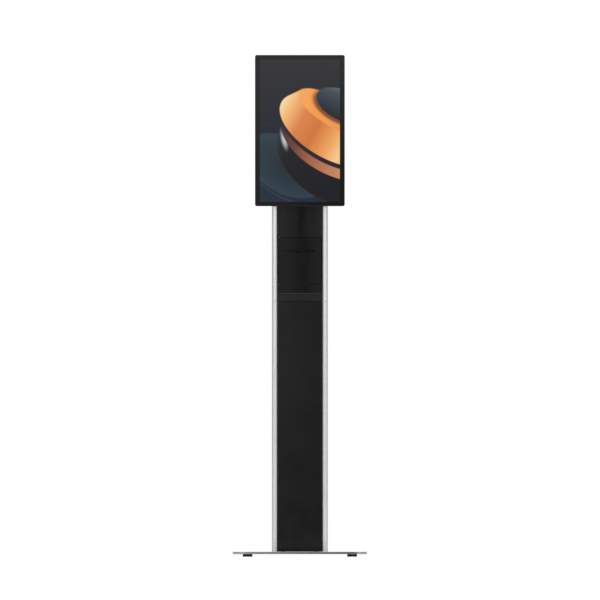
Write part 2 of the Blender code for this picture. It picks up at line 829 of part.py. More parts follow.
def printer_shelf():
    half_depth = 0.038
    edge = [(-FILL_X, -half_depth), (FILL_X, -half_depth), (FILL_X, half_depth), (-FILL_X, half_depth)]
    middle = SHELF_LOW + SHELF_THICKNESS / 2
    prism("printer_shelf", [edge, cable_hole()], SHELF_THICKNESS, (0, 0, middle), "Z", STEEL)


def printer_frame():
    """Two side plates and a floor, folded from one sheet, with open slots for the roll's spindle."""
    front = -0.040
    back = 0.052
    low = SHELF_LOW + SHELF_THICKNESS + GAP
    inner = FRAME_HALF_WIDTH - FRAME_SHEET
    outline = [
        (-FRAME_HALF_WIDTH, low),
        (FRAME_HALF_WIDTH, low),
        (FRAME_HALF_WIDTH, FRAME_HIGH),
        (inner, FRAME_HIGH),
        (inner, low + FRAME_SHEET),
        (-inner, low + FRAME_SHEET),
        (-inner, FRAME_HIGH),
        (-FRAME_HALF_WIDTH, FRAME_HIGH),
    ]
    middle_y = (front + back) / 2
    frame = prism("printer_frame", [outline], back - front, (0, middle_y, 0), "Y", STEEL)
    slot_half = SPINDLE_RADIUS + GAP
    slot_length = ROLL_Y - front + 0.010
    slot = [
        *arc((0, 0), slot_half, -math.pi / 2, math.pi / 2, 8),
        (-slot_length, slot_half),
        (-slot_length, -slot_half),
    ]
    cut(frame, prism("spindle_slot", [slot], 0.120, (0, ROLL_Y, ROLL_Z), "X"))
    hole = SHAFT_RADIUS + GAP
    cut(frame, rod("platen_hole", hole, 0.120, (0, PLATEN_Y, PLATEN_Z), "X", sides=12))
    cut(frame, rod("motor_hole", hole, 0.020, (-FRAME_HALF_WIDTH, MOTOR_Y, MOTOR_Z), "X", sides=12))


def paper_roll():
    half = ROLL_WIDTH / 2
    bore = SPINDLE_RADIUS + GAP
    profile = [(bore, half), (ROLL_RADIUS, half), (ROLL_RADIUS, -half), (bore, -half)]
    roll = turned("paper_roll", profile, (0, ROLL_Y, ROLL_Z), "X", PAPER, sides=36, hollow=True)
    smooth(roll)
    half_spindle = 0.052
    spindle = rod("roll_spindle", SPINDLE_RADIUS, 2 * half_spindle, (0, ROLL_Y, ROLL_Z), "X", WHITE_NYLON, 16)
    smooth(spindle)
    pivot("roll_axis", (0, ROLL_Y, ROLL_Z), roll, spindle)


def paper_web():
    """The paper from the back of the roll, up and forward over the platen to the cutter."""
    bend = 0.040
    half = PAPER_THICKNESS / 2
    start_y = ROLL_Y + ROLL_RADIUS + GAP + half
    centre = (start_y - bend, PAPER_Z - bend)
    end_y = -0.0315
    outer = bend + half
    inner = bend - half
    outline = [(start_y + half, ROLL_Z)]
    outline += arc(centre, outer, 0, math.pi / 2, 12)
    outline += [(end_y, PAPER_Z + half), (end_y, PAPER_Z - half)]
    outline += arc(centre, inner, math.pi / 2, 0, 12)
    outline += [(start_y - half, ROLL_Z)]
    prism("paper_web", [outline], ROLL_WIDTH, (0, 0, 0), "X", PAPER)


def platen():
    """The rubber roller on its shaft, and the gear on the shaft's left end."""
    half_roller = 0.042
    left_end = 0.0555
    right_end = -0.051
    profile = [
        (0, -right_end),
        (SHAFT_RADIUS, -right_end),
        (SHAFT_RADIUS, half_roller),
        (PLATEN_RADIUS, half_roller),
        (PLATEN_RADIUS, -half_roller),
        (SHAFT_RADIUS, -half_roller),
        (SHAFT_RADIUS, -left_end),
        (0, -left_end),
    ]
    centre = (0, PLATEN_Y, PLATEN_Z)
    roller = turned("platen_roller", profile, centre, "X", RUBBER)
    smooth(roller)
    gear = prism(
        "platen_gear",
        gear_outline(PLATEN_TEETH, SHAFT_RADIUS + GAP),
        GEAR_WIDTH,
        (GEAR_X, PLATEN_Y, PLATEN_Z),
        "X",
        WHITE_NYLON,
    )
    turn_in_plane(gear, MOTOR_ANGLE)
    pivot("platen_axis", centre, roller, gear)


def turn_in_plane(obj, angle):
    """Turns a flat outline in its own plane, so that the gears stand tooth to gap."""
    shape = bmesh.new()
    shape.from_mesh(obj.data)
    turned_points = [
        (
            v.co.x * math.cos(angle) - v.co.y * math.sin(angle),
            v.co.x * math.sin(angle) + v.co.y * math.cos(angle),
        )
        for v in shape.verts
    ]
    for vertex, (across, up) in zip(shape.verts, turned_points):
        vertex.co.x = across
        vertex.co.y = up
    shape.to_mesh(obj.data)
    shape.free()


def motor():
    """The feed motor inside the left side plate, and its pinion outside it."""
    body_radius = 0.011
    body_length = 0.015
    body_x = -FRAME_HALF_WIDTH + FRAME_SHEET + GAP + body_length / 2
    smooth(rod("feed_motor", body_radius, body_length, (body_x, MOTOR_Y, MOTOR_Z), "X", STEEL))
    centre = (GEAR_X, MOTOR_Y, MOTOR_Z)
    teeth = gear_outline(PINION_TEETH, SHAFT_RADIUS / 2)[:1]
    pinion = prism("motor_pinion", teeth, GEAR_WIDTH, centre, "X", BRASS)
    half_tooth = math.pi / PINION_TEETH
    turn_in_plane(pinion, MOTOR_ANGLE + math.pi + half_tooth)
    shaft_length = -FRAME_HALF_WIDTH + FRAME_SHEET - GEAR_X
    shaft = rod(
        "pinion_shaft",
        0.0016,
        shaft_length,
        (GEAR_X + shaft_length / 2, MOTOR_Y, MOTOR_Z),
        "X",
        sides=12,
    )
    join(pinion, shaft)
    pivot("motor_axis", centre, pinion)


def thermal_head():
    low = (-0.042, -0.024, PAPER_Z + PAPER_THICKNESS / 2 + GAP)
    high = (0.042, -0.004, 1.0385)
    chamfer(block("thermal_head", low, high, ALUMINIUM), 0.001)


def cutter():
    """A fixed window that the paper passes through, and the blade that drops across it."""
    frame_y = -0.03375
    frame_thickness = 0.0025
    frame_low = 1.008
    window_low = 1.0218
    window_high = 1.034
    outer = [(-0.045, frame_low), (0.045, frame_low), (0.045, FRAME_HIGH), (-0.045, FRAME_HIGH)]
    window = [(-0.041, window_low), (0.041, window_low), (0.041, window_high), (-0.041, window_high)]
    prism("cutter_frame", [outer, window], frame_thickness, (0, frame_y, 0), "Y", STEEL)
    blade_thickness = 0.0012
    blade_y = frame_y - frame_thickness / 2 - GAP - blade_thickness / 2
    blade_low = 1.0265
    blade = [
        (-0.042, FRAME_HIGH),
        (-0.042, blade_low),
        (0, blade_low + 0.003),
        (0.042, blade_low),
        (0.042, FRAME_HIGH),
    ]
    prism("cutter_blade", [blade], blade_thickness, (0, blade_y, 0), "Y", STEEL)


# The display.


def display_bracket():
    """The plate behind the display, with a raised pad that the display is screwed to."""
    low = FASCIA_HIGH + REVEAL
    high = COLUMN_TOP - REVEAL
    front = -COVER_Y + 0.002
    plate_back = front + 0.003
    pad = 0.060
    wall = 0.003
    pad_front = DISPLAY_BACK_Y + GAP
    bracket = block("display_bracket", (-FILL_X, front, low), (FILL_X, plate_back, high), STEEL)
    pad_low = (-pad, pad_front, DISPLAY_CENTRE_Z - pad)
    pad_high = (pad, front + GAP, DISPLAY_CENTRE_Z + pad)
    join(bracket, block("bracket_pad", pad_low, pad_high))
    hollow_low = (-pad + wall, pad_front + wall, DISPLAY_CENTRE_Z - pad + wall)
    hollow_high = (pad - wall, plate_back + wall, DISPLAY_CENTRE_Z + pad - wall)
    cut(bracket, block("pad_hollow", hollow_low, hollow_high))
    for number, centre in enumerate(vesa_points(pad_front), 1):
        cut(bracket, rod(f"pad_hole_{number}", 0.0023, 0.012, centre, "Y", sides=12))


def vesa_points(y):
    half = VESA_PITCH / 2
    return [(x, y, DISPLAY_CENTRE_Z + z) for x, z in corners(half, half)]


def display_frame():
    """The ring round the display: a rebate at the front for the glass, open behind it."""
    front = DISPLAY_FRONT_Y
    outer = rounded(DISPLAY_WIDTH, DISPLAY_HEIGHT, DISPLAY_CORNER)
    opening = rounded(PANEL_WIDTH + 0.0013, PANEL_HEIGHT + 0.0014, 0.002, steps=2)
    centre = (0, front + FRAME_DEPTH / 2, DISPLAY_CENTRE_Z)
    frame = prism("display_frame", [outer, opening], FRAME_DEPTH, centre, "Y", MATT_BLACK)
    rebate = rounded(GLASS_WIDTH + 2 * GAP, GLASS_HEIGHT + 2 * GAP, GLASS_CORNER + GAP)
    rebate_depth = 2 * (GLASS_THICKNESS + 2 * GAP)
    cut(frame, prism("glass_rebate", [rebate], rebate_depth, (0, front, DISPLAY_CENTRE_Z), "Y"))


def display_glass():
    outline = rounded(GLASS_WIDTH, GLASS_HEIGHT, GLASS_CORNER)
    centre = (0, DISPLAY_FRONT_Y + GAP + GLASS_THICKNESS / 2, DISPLAY_CENTRE_Z)
    prism("display_glass", [outline], GLASS_THICKNESS, centre, "Y", SCREEN_GLASS)


def lcd_panel():
    front = DISPLAY_FRONT_Y + GLASS_THICKNESS + 0.0011
    half_width = PANEL_WIDTH / 2
    half_height = PANEL_HEIGHT / 2
    low = (-half_width, front, DISPLAY_CENTRE_Z - half_height)
    high = (half_width, front + PANEL_THICKNESS, DISPLAY_CENTRE_Z + half_height)
    block("lcd_panel", low, high, SCREEN_PANEL)


def lcd_tray():
    """The metal tray behind the panel, open to it at the front, which holds the backlight."""
    front = DISPLAY_FRONT_Y + 0.0069
    back = DISPLAY_FRONT_Y + 0.0153
    wall = 0.001
    half_width = PANEL_WIDTH / 2
    half_height = PANEL_HEIGHT / 2
    low = (-half_width, front, DISPLAY_CENTRE_Z - half_height)
    high = (half_width, back, DISPLAY_CENTRE_Z + half_height)
    tray = block("lcd_tray", low, high, STEEL)
    hollow_low = (-half_width + wall, front - wall, DISPLAY_CENTRE_Z - half_height + wall)
    hollow_high = (half_width - wall, back - wall, DISPLAY_CENTRE_Z + half_height - wall)
    cut(tray, block("tray_hollow", hollow_low, hollow_high))


def rear_cover():
    """The moulded back: a shell with a rounded rear edge, air slots, and holes for four screws."""
    depth = DISPLAY_BACK_Y - REAR_COVER_FRONT_Y
    wall = 0.0025
    centre = (0, REAR_COVER_FRONT_Y + depth / 2, DISPLAY_CENTRE_Z)
    outline = rounded(DISPLAY_WIDTH, DISPLAY_HEIGHT, DISPLAY_CORNER)
    cover = prism("rear_cover", [outline], depth, centre, "Y", MATT_BLACK)
    open_front(cover.data, depth / 2)
    bevel = cover.modifiers.new("Bevel", "BEVEL")
    bevel.width = 0.010
    bevel.segments = 3
    bevel.limit_method = "WEIGHT"
    skin = cover.modifiers.new("Solidify", "SOLIDIFY")
    skin.thickness = wall
    skin.offset = -1
    smooth(cover)
    for number, point in enumerate(vesa_points(DISPLAY_BACK_Y), 1):
        cut(cover, rod(f"cover_hole_{number}", 0.0022, 0.012, point, "Y", sides=12))
    cover_slots(cover)
    button_hole = (DISPLAY_WIDTH / 2, BUTTON_Y, BUTTON_Z)
    cut(cover, rod("button_hole", BUTTON_RADIUS + GAP, 0.010, button_hole, "X", sides=16))


def open_front(mesh, half_depth):
    """Takes the front off a closed shape and marks its rear edge for rounding."""
    shape = bmesh.new()
    shape.from_mesh(mesh)
    front = [f for f in shape.faces if all(v.co.z > half_depth - MERGE for v in f.verts)]
    bmesh.ops.delete(shape, geom=front, context="FACES_ONLY")
    weight = shape.edges.layers.float.new("bevel_weight_edge")
    for edge in shape.edges:
        if all(v.co.z < -half_depth + MERGE for v in edge.verts) and edge.calc_face_angle(0) > SHARP:
            edge[weight] = 1
    shape.to_mesh(mesh)
    shape.free()


def cover_slots(cover):
    """Upright air slots, in a row above the screws and a row below them."""
    slots = 7
    pitch = 0.018
    half_width = 0.0015
    half_height = 0.020
    for row in (-1, 1):
        z = DISPLAY_CENTRE_Z + row * 0.150
        for number in range(slots):
            x = (number - (slots - 1) / 2) * pitch
            low = (x - half_width, DISPLAY_BACK_Y - 0.006, z - half_height)
            high = (x + half_width, DISPLAY_BACK_Y + 0.006, z + half_height)
            cut(cover, block("cover_slot", low, high))


def mainboard():
    half = 0.085
    low = (-half, -0.090, DISPLAY_CENTRE_Z - half)
    high = (half, -0.0884, DISPLAY_CENTRE_Z + half)
    block("mainboard", low, high, BOARD_GREEN)


def heatsink():
    """A base with fins that stand towards the rear cover."""
    half = 0.035
    front = -0.0881
    base_back = -0.0845
    fin_back = -0.073
    fins = 8
    fin_half = 0.0008
    outline = [(-half, front), (half, front), (half, base_back)]
    for number in reversed(range(fins)):
        x = (number - (fins - 1) / 2) * (2 * half - 0.004) / (fins - 1)
        outline += [(x + fin_half, base_back), (x + fin_half, fin_back)]
        outline += [(x - fin_half, fin_back), (x - fin_half, base_back)]
    outline.append((-half, base_back))
    prism("heatsink", [outline], 2 * half, (0, 0, DISPLAY_CENTRE_Z), "Z", ALUMINIUM)


def speakers():
    """A boxed speaker near each lower corner of the display."""
    inner_x = 0.066
    outer_x = 0.136
    for name, side in sides_of("speaker"):
        ends = sorted((side * inner_x, side * outer_x))
        chamfer(block(name, (ends[0], -0.092, 1.188), (ends[1], -0.074, 1.214), MATT_BLACK), 0.001)


def power_button():
    """The button in the display's right side; it stands just inside the cover's face."""
    outer = DISPLAY_WIDTH / 2 - 0.0005
    inner = outer - 0.006
    collar = BUTTON_RADIUS + 0.0015
    collar_outer = DISPLAY_WIDTH / 2 - 0.0025 - GAP
    profile = [
        (0, outer),
        (BUTTON_RADIUS, outer),
        (BUTTON_RADIUS, collar_outer),
        (collar, collar_outer),
        (collar, inner),
        (0, inner),
    ]
    smooth(turned("power_button", profile, (0, BUTTON_Y, BUTTON_Z), "X", MATT_BLACK, sides=16))


def build():
    base_plate()
    feet()
    column_foot()
    column_bolts()
    rails()
    rail_joiners()
    lower_front_panel()
    stand_brace()
    rear_skirt()
    power_inlet()
    rocker_switch()
    service_door()
    door_pins()
    door_lock()
    lock_keeper()
    power_supply()
    cable_duct()
    status_trim()
    status_lens()
    status_board()
    printer_door()
    printer_door_rod()
    upper_fascia()
    upper_back_cover()
    column_cap()
    printer_shelf()
    printer_frame()
    paper_roll()
    paper_web()
    platen()
    motor()
    thermal_head()
    cutter()
    display_bracket()
    display_frame()
    display_glass()
    lcd_panel()
    lcd_tray()
    rear_cover()
    mainboard()
    heatsink()
    speakers()
    power_button()


build()
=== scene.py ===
"""The looks of a floor-standing touchscreen kiosk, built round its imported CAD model.

Metres, +Z up. The front faces -Y, and every piece's mesh is laid out in the object's own frame.
"""

import json
import math
from types import SimpleNamespace

import bmesh
import bpy
from mathutils import Matrix, Vector


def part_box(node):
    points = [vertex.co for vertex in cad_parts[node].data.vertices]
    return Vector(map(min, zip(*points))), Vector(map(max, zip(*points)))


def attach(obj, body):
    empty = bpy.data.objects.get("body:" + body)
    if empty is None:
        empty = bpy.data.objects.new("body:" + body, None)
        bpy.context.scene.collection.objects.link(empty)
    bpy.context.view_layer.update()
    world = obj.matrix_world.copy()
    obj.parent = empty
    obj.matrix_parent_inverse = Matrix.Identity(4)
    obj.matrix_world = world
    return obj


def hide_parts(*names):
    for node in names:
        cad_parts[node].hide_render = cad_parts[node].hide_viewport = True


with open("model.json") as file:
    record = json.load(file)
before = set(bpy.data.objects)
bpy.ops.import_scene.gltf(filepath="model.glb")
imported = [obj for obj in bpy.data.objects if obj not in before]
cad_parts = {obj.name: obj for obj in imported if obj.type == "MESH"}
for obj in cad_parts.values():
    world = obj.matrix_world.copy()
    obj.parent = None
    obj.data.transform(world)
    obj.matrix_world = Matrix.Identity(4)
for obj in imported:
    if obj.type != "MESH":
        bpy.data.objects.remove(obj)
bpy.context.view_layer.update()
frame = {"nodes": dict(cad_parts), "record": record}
SLOT_OF = {row["node"]: row["material_slot"] for row in frame["record"]["subparts"]}

ROOT = "kiosk"
MILLIMETRE = 0.001
SHARP = math.radians(32)
FACING = {
    "X": Matrix.Rotation(math.pi / 2, 4, "Z") @ Matrix.Rotation(math.pi / 2, 4, "X"),
    "Y": Matrix.Rotation(math.pi / 2, 4, "X"),
    "Z": Matrix.Identity(4),
}
FLAT, DEEP = 1e6, 1e3  # unit lengths so long that a pattern doesn't change along them
MATERIALS = {}


def box_of(node):
    """A CAD node's box at rest: its ends, its centre and its sizes w, d and h along x, y and z."""
    low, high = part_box(node)
    middle, size = (low + high) / 2, high - low
    box = {"centre": tuple(middle)}
    for i, axis in enumerate("xyz"):
        box |= {f"{axis}0": low[i], f"{axis}1": high[i], f"c{axis}": middle[i], "wdh"[i]: size[i]}
    return SimpleNamespace(**box)


def srgb(red, green, blue):
    """A linear colour from 0-255 display values."""

    def linear(value):
        share = value / 255
        return share / 12.92 if share <= 0.04045 else ((share + 0.055) / 1.055) ** 2.4

    return (linear(red), linear(green), linear(blue), 1)


GLASS = box_of("display_glass")


# Materials: each surface is one Principled shader, with patterns laid out in metres in the object's own space.


class Nodes:
    """A node tree, with short names for what is put in it."""

    def __init__(self, tree):
        self.tree = tree

    def feed(self, socket, value):
        """Gives a socket a number, a colour or another node's output."""
        if isinstance(value, bpy.types.NodeSocket):
            self.tree.links.new(value, socket)
        else:
            socket.default_value = value

    def node(self, kind, settings=None, **inputs):
        """A new node; its inputs are given by name, or by place (i0, i1, ...)."""
        made = self.tree.nodes.new(kind)
        for key, value in (settings or {}).items():
            setattr(made, key, value)
        for key, value in inputs.items():
            self.feed(made.inputs[int(key[1:]) if key[1:].isdigit() else key], value)
        return made

    def place(self, centre=(0, 0, 0), scale=(1, 1, 1), turn=(0, 0, 0)):
        """The point's place in a frame with this centre, turn and unit lengths."""
        point = self.node("ShaderNodeTexCoord").outputs["Object"]
        frame_of = {"Location": centre, "Rotation": turn, "Scale": scale if isinstance(scale, tuple) else (scale,) * 3}
        return self.node("ShaderNodeMapping", {"vector_type": "TEXTURE"}, i0=point, **frame_of).outputs[0]

    def noise(self, size, detail=3.0, roughness=0.5):
        """Noise whose features have this size in metres, or these sizes along x, y and z."""
        place = self.place(scale=size)
        return self.node("ShaderNodeTexNoise", i0=place, Scale=1, Detail=detail, Roughness=roughness).outputs[0]

    def cells(self, size, distance="EUCLIDEAN"):
        """How far the point is from the nearest of many scattered ones."""
        return self.node("ShaderNodeTexVoronoi", {"distance": distance}, i0=self.place(scale=size), Scale=1).outputs[0]

    def spread(self, value, low, high, to_low, to_high, smooth=False):
        """Maps low..high to to_low..to_high, held at both ends."""
        settings = {"interpolation_type": "SMOOTHSTEP" if smooth else "LINEAR"}
        return self.node("ShaderNodeMapRange", settings, i0=value, i1=low, i2=high, i3=to_low, i4=to_high).outputs[0]

    def mix(self, factor, first, second):
        """The first colour where the factor is 0, the second where it is 1."""
        first, second = ((*c, 1) if isinstance(c, tuple) and len(c) == 3 else c for c in (first, second))
        return self.node("ShaderNodeMix", {"data_type": "RGBA"}, i0=factor, i6=first, i7=second).outputs[2]

    def tone(self, value, first, second, low=0.35, high=0.65):
        """A colour that drifts from the first to the second as the value goes from low to high."""
        return self.mix(self.spread(value, low, high, 0, 1), first, second)

    def math(self, operation, first, second=0.0):
        return self.node("ShaderNodeMath", {"operation": operation}, i0=first, i1=second).outputs[0]

    def times(self, first, second):
        return self.math("MULTIPLY", first, second)

    def plus(self, first, second):
        return self.math("ADD", first, second)

    def axis(self, name, vector):
        return self.node("ShaderNodeSeparateXYZ", i0=vector).outputs["XYZ".index(name)]

    def measure(self, operation, *vectors):
        """The number that an operation makes of one or two vectors."""
        inputs = {f"i{i}": vector for i, vector in enumerate(vectors)}
        return self.node("ShaderNodeVectorMath", {"operation": operation}, **inputs).outputs["Value"]

    def ramp(self, value, stops):
        """A colour ramp through stops of (place, red, green, blue), in 0-255 display values."""
        made = self.node("ShaderNodeValToRGB", i0=value)
        band = made.color_ramp
        while len(band.elements) > 1:
            band.elements.remove(band.elements[-1])
        for number, (at, *colour) in enumerate(stops):
            stop = band.elements[0] if number == 0 else band.elements.new(at)
            stop.position = at
            stop.color = srgb(*colour)
        return made.outputs[0]


class Surface(Nodes):
    """One material: a Principled shader and what feeds it."""

    def __init__(self, slot, colour, roughness, metallic=0.0, specular=0.5):
        material = MATERIALS[slot] = bpy.data.materials.new(slot)
        material.use_nodes = True
        super().__init__(material.node_tree)
        self.shader = self.tree.nodes["Principled BSDF"]
        self.set("Base Color", (*colour, 1))
        self.set("Roughness", roughness)
        self.set("Metallic", metallic)
        self.set("Specular IOR Level", specular)

    def set(self, socket, value):
        self.feed(self.shader.inputs[socket], value)

    def look(self, colour, roughness, height, depth, strength):
        """Feeds the colour and the roughness, and adds a relief whose depth is in metres."""
        self.set("Base Color", colour)
        self.set("Roughness", roughness)
        self.set("Normal", self.node("ShaderNodeBump", Strength=strength, Distance=depth, Height=height).outputs[0])

    def drift(self, value, low, high):
        """A number that drifts from low to high with the value."""
        return self.spread(value, 0.35, 0.65, low, high)

    def handled(self, low, high, size):
        """A roughness between two values, as on a surface that has been touched and wiped."""
        return self.drift(self.noise(size, 5.0, 0.62), low, high)

    def worn_edges(self, radius, share):
        """A mask of the edges, from how far a rounded normal turns from the true one."""
        rounded_normal = self.node("ShaderNodeBevel", {"samples": 4}, i0=radius).outputs[0]
        true_normal = self.node("ShaderNodeNewGeometry").outputs["Normal"]
        edge = self.spread(self.measure("DOT_PRODUCT", rounded_normal, true_normal), 0.80, 0.99, share, 0)
        return self.times(edge, self.spread(self.noise(0.006, 4.0), 0.4, 0.62, 0, 1))


def anodised_aluminium():
    """Satin anodised extrusion: fine die lines along its length."""
    s = Surface("anodised_aluminium", (0.80, 0.80, 0.79), 0.3, 0.9)
    lines, cast = s.noise((0.0005, 0.0005, 0.4)), s.noise((0.05, 0.05, 0.3), 4.0)
    gloss = s.plus(s.spread(lines, 0.3, 0.7, 0.19, 0.25), s.spread(cast, 0.4, 0.6, 0, 0.025))
    s.look(s.tone(cast, (0.835, 0.828, 0.812), (0.88, 0.872, 0.855)), gloss, lines, 0.00001, 0.25)


def base_metal():
    """Brushed plate, grained along x under a satin lacquer."""
    s = Surface("base_metal", (0.58, 0.58, 0.575), 0.3, 1.0)
    grain = s.noise((0.06, 0.0004, 0.0004), 4.0, 0.6)
    gloss = s.plus(s.spread(grain, 0.3, 0.7, 0.16, 0.25), s.spread(s.noise(0.09, 5.0), 0.4, 0.65, 0, 0.04))
    s.look(s.tone(grain, (0.50, 0.50, 0.496), (0.60, 0.60, 0.592), 0.3, 0.7), gloss, grain, 0.00001, 0.3)


def steel():
    """Zinc plate: a faint spangle, and a soft drift in its shine."""
    s = Surface("steel", (0.56, 0.57, 0.59), 0.34, 1.0)
    spangle = s.tone(s.cells(0.006), (0.61, 0.62, 0.65), (0.50, 0.51, 0.53), 0.1, 0.8)
    s.look(spangle, s.drift(s.noise(0.03, 4.0), 0.26, 0.42), s.noise(0.0012), 0.00003, 0.35)


def black_paint():
    """Satin powder coat: a fine orange peel, a little rubbed at its edges."""
    s = Surface("black_paint", (0.006, 0.006, 0.0063), 0.2, 0.0, 0.32)
    coat = s.tone(s.noise(0.11, 4.0), (0.0045, 0.0045, 0.0048), (0.008, 0.008, 0.0083))
    worn = s.mix(s.worn_edges(0.0012, 0.5), coat, (0.05, 0.05, 0.05))
    s.look(worn, s.handled(0.11, 0.16, 0.06), s.noise(0.0016, 2.0), 0.00001, 0.12)


def gloss_black():
    """Gloss moulding: faint smears, hairline scratches and a trace of moulding waviness."""
    s = Surface("gloss_black", (0.006, 0.006, 0.0062), 0.1, 0.0, 0.14)
    smears = s.noise((0.02, 0.02, 0.035), 6.0, 0.65)
    hairlines = s.spread(s.noise((0.0003, 0.0003, 0.03), 2.0), 0.66, 0.74, 0, 0.08)
    gloss = s.plus(s.spread(smears, 0.4, 0.68, 0.085, 0.19), hairlines)
    film = s.tone(smears, (0.0055, 0.0055, 0.0057), (0.008, 0.008, 0.008), 0.4, 0.7)
    s.look(film, gloss, s.noise(0.02, 1.0), 0.00004, 0.12)


def matt_black():
    """Spark-eroded plastic: an even fine grain."""
    s = Surface("matt_black", (0.014, 0.014, 0.015), 0.5, 0.0, 0.34)
    plastic = s.tone(s.noise(0.06, 4.0), (0.012, 0.012, 0.013), (0.018, 0.018, 0.019))
    worn = s.mix(s.worn_edges(0.001, 0.35), plastic, (0.045, 0.045, 0.047))
    s.look(worn, s.handled(0.42, 0.55, 0.04), s.cells(0.0007), 0.00008, 0.35)


def label_print():
    """The matt field of a blank label: a fine even grain."""
    s = Surface("label_print", (0.008, 0.008, 0.0082), 0.3, 0.0, 0.26)
    ink = s.tone(s.noise(0.02, 4.0), (0.0072, 0.0072, 0.0074), (0.0088, 0.0088, 0.009))
    s.look(ink, s.handled(0.28, 0.34, 0.03), s.noise(0.0008, 2.0), 0.00001, 0.15)


def rubber():
    """Moulded rubber, lighter in speckles on its lowest few millimetres."""
    s = Surface("rubber", (0.014, 0.014, 0.014), 0.82, 0.0, 0.35)
    speckle = s.noise(0.0012, 4.0, 0.7)
    low = s.spread(s.axis("Z", s.place()), 0.0, 0.006, 0.8, 0.0)
    # Lighter speckles on the lowest 6 mm, fading out upwards.
    low_speckles = s.times(low, s.spread(speckle, 0.4, 0.6, 0.2, 1))
    speckled_colour = s.mix(low_speckles, (0.060, 0.060, 0.060), (0.14, 0.135, 0.125))
    s.look(speckled_colour, s.drift(speckle, 0.72, 0.9), speckle, 0.0001, 0.4)


def amber_lens():
    """A diffuser that glows a little, brightest over the lamps behind it."""
    s = Surface("amber_lens", (0.10, 0.035, 0.012), 0.35, 0.0, 0.4)
    lamps = s.axis("X", s.place(scale=(0.0046, 1, 1)))
    pulse = s.spread(s.math("SINE", lamps), -1, 1, 0.55, 1)
    glow = s.mix(pulse, (0.0058, 0.0044, 0.0038), (0.0092, 0.0066, 0.0056))
    s.set("Emission Color", s.mix(s.noise(0.004), glow, (0.0077, 0.0056, 0.0048)))
    s.set("Emission Strength", 1.0)
    s.look(s.mix(pulse, (0.026, 0.010, 0.004), (0.052, 0.020, 0.007)), 0.35, s.noise(0.0008, 2.0), 0.00005, 0.3)


def paper():
    """Thermal paper: smooth, with faint fibres and the fine rings of its turns."""
    s = Surface("paper", (0.82, 0.81, 0.77), 0.55, 0.0, 0.35)
    roll = box_of("paper_roll")
    radius = s.measure("LENGTH", s.place((0, roll.cy, roll.cz), (FLAT, 1, 1)))
    rings = s.spread(s.math("FRACT", s.times(radius, 1400)), 0.75, 1.0, 0, 0.25)
    fibres = s.noise((0.003, 0.0008, 0.0008), 4.0)
    sheet = s.tone(fibres, (0.84, 0.83, 0.80), (0.76, 0.745, 0.70), 0.3, 0.7)
    gloss = s.spread(fibres, 0.3, 0.7, 0.45, 0.62)
    s.look(s.mix(rings, sheet, (0.55, 0.53, 0.48)), gloss, fibres, 0.00003, 0.3)


def circuit_board():
    """Solder mask over copper tracks and a field of vias."""
    s = Surface("circuit_board", (0.01, 0.10, 0.045), 0.4, 0.0, 0.5)
    edges = s.math("FRACT", s.times(s.cells((0.004, DEEP, 0.004), "MANHATTAN"), 6.0))
    copper = s.spread(edges, 0.40, 0.55, 0, 1)
    vias = s.spread(s.cells((0.0035, DEEP, 0.0035)), 0.10, 0.14, 1, 0)
    board = s.mix(copper, (0.007, 0.075, 0.034), (0.022, 0.17, 0.075))
    s.look(s.mix(vias, board, (0.50, 0.46, 0.32)), s.drift(s.noise(0.01), 0.3, 0.45), copper, 0.00005, 0.6)


def nylon():
    """Natural nylon with a soft moulded sheen."""
    s = Surface("nylon", (0.76, 0.74, 0.68), 0.42, 0.0, 0.5)
    cast = s.noise(0.006, 4.0)
    colour = s.tone(cast, (0.78, 0.76, 0.70), (0.69, 0.67, 0.60))
    s.look(colour, s.drift(cast, 0.36, 0.5), s.noise(0.0006, 2.0), 0.00003, 0.3)


def brass():
    """Turned brass, a little dull."""
    s = Surface("brass", (0.62, 0.46, 0.20), 0.3, 1.0)
    cast = s.noise(0.003, 4.0)
    colour = s.tone(cast, (0.66, 0.50, 0.23), (0.52, 0.37, 0.16))
    s.look(colour, s.spread(cast, 0.3, 0.7, 0.22, 0.38), s.noise((0.0002, 0.002, 0.002), 2.0), 0.00002, 0.4)


def lcd_panel():
    """The panel's dark polariser and its bare metal rim."""
    s = Surface("lcd_panel", (0.03, 0.032, 0.036), 0.3, 0.0, 0.5)
    cast = s.noise(0.03)
    colour = s.tone(cast, (0.026, 0.028, 0.032), (0.038, 0.040, 0.044))
    s.look(colour, s.drift(cast, 0.24, 0.34), s.noise(0.001, 2.0), 0.00002, 0.2)


# The picture: tilted discs stacked over a dark ground, in millimetres from the middle of the active area.
TILT = math.radians(-30)
LID_TILT = math.radians(-26)
ACTIVE_WIDTH = 0.2680
ACTIVE_HEIGHT = 0.4766


def disc(s, centre, across, along, soft, tilt=TILT):
    """A tilted disc's mask, 1 inside, and its own coordinates, where its edge is 1 from its middle."""
    middle = (GLASS.cx + centre[0] * MILLIMETRE, 0, GLASS.cz + centre[1] * MILLIMETRE)
    inside = s.place(middle, (across * MILLIMETRE, FLAT, along * MILLIMETRE), (0, -tilt, 0))
    length = s.measure("LENGTH", inside)
    edge = soft / min(across, along)
    return s.spread(length, 1 - edge, 1 + edge, 1, 0, smooth=True), inside, length


def shaded(s, colour, spot, axis, low, high, stops):
    """Lays a disc over the colour, shaded from low to high along one of its own axes."""
    mask, inside, _ = disc(s, *spot)
    return s.mix(mask, colour, s.ramp(s.spread(s.axis(axis, inside), low, high, 0, 1), stops))


def tinted(s, colour, spot, share, tint):
    """Lays a share of an even disc over the colour."""
    return s.mix(s.times(disc(s, *spot)[0], share), colour, srgb(*tint))


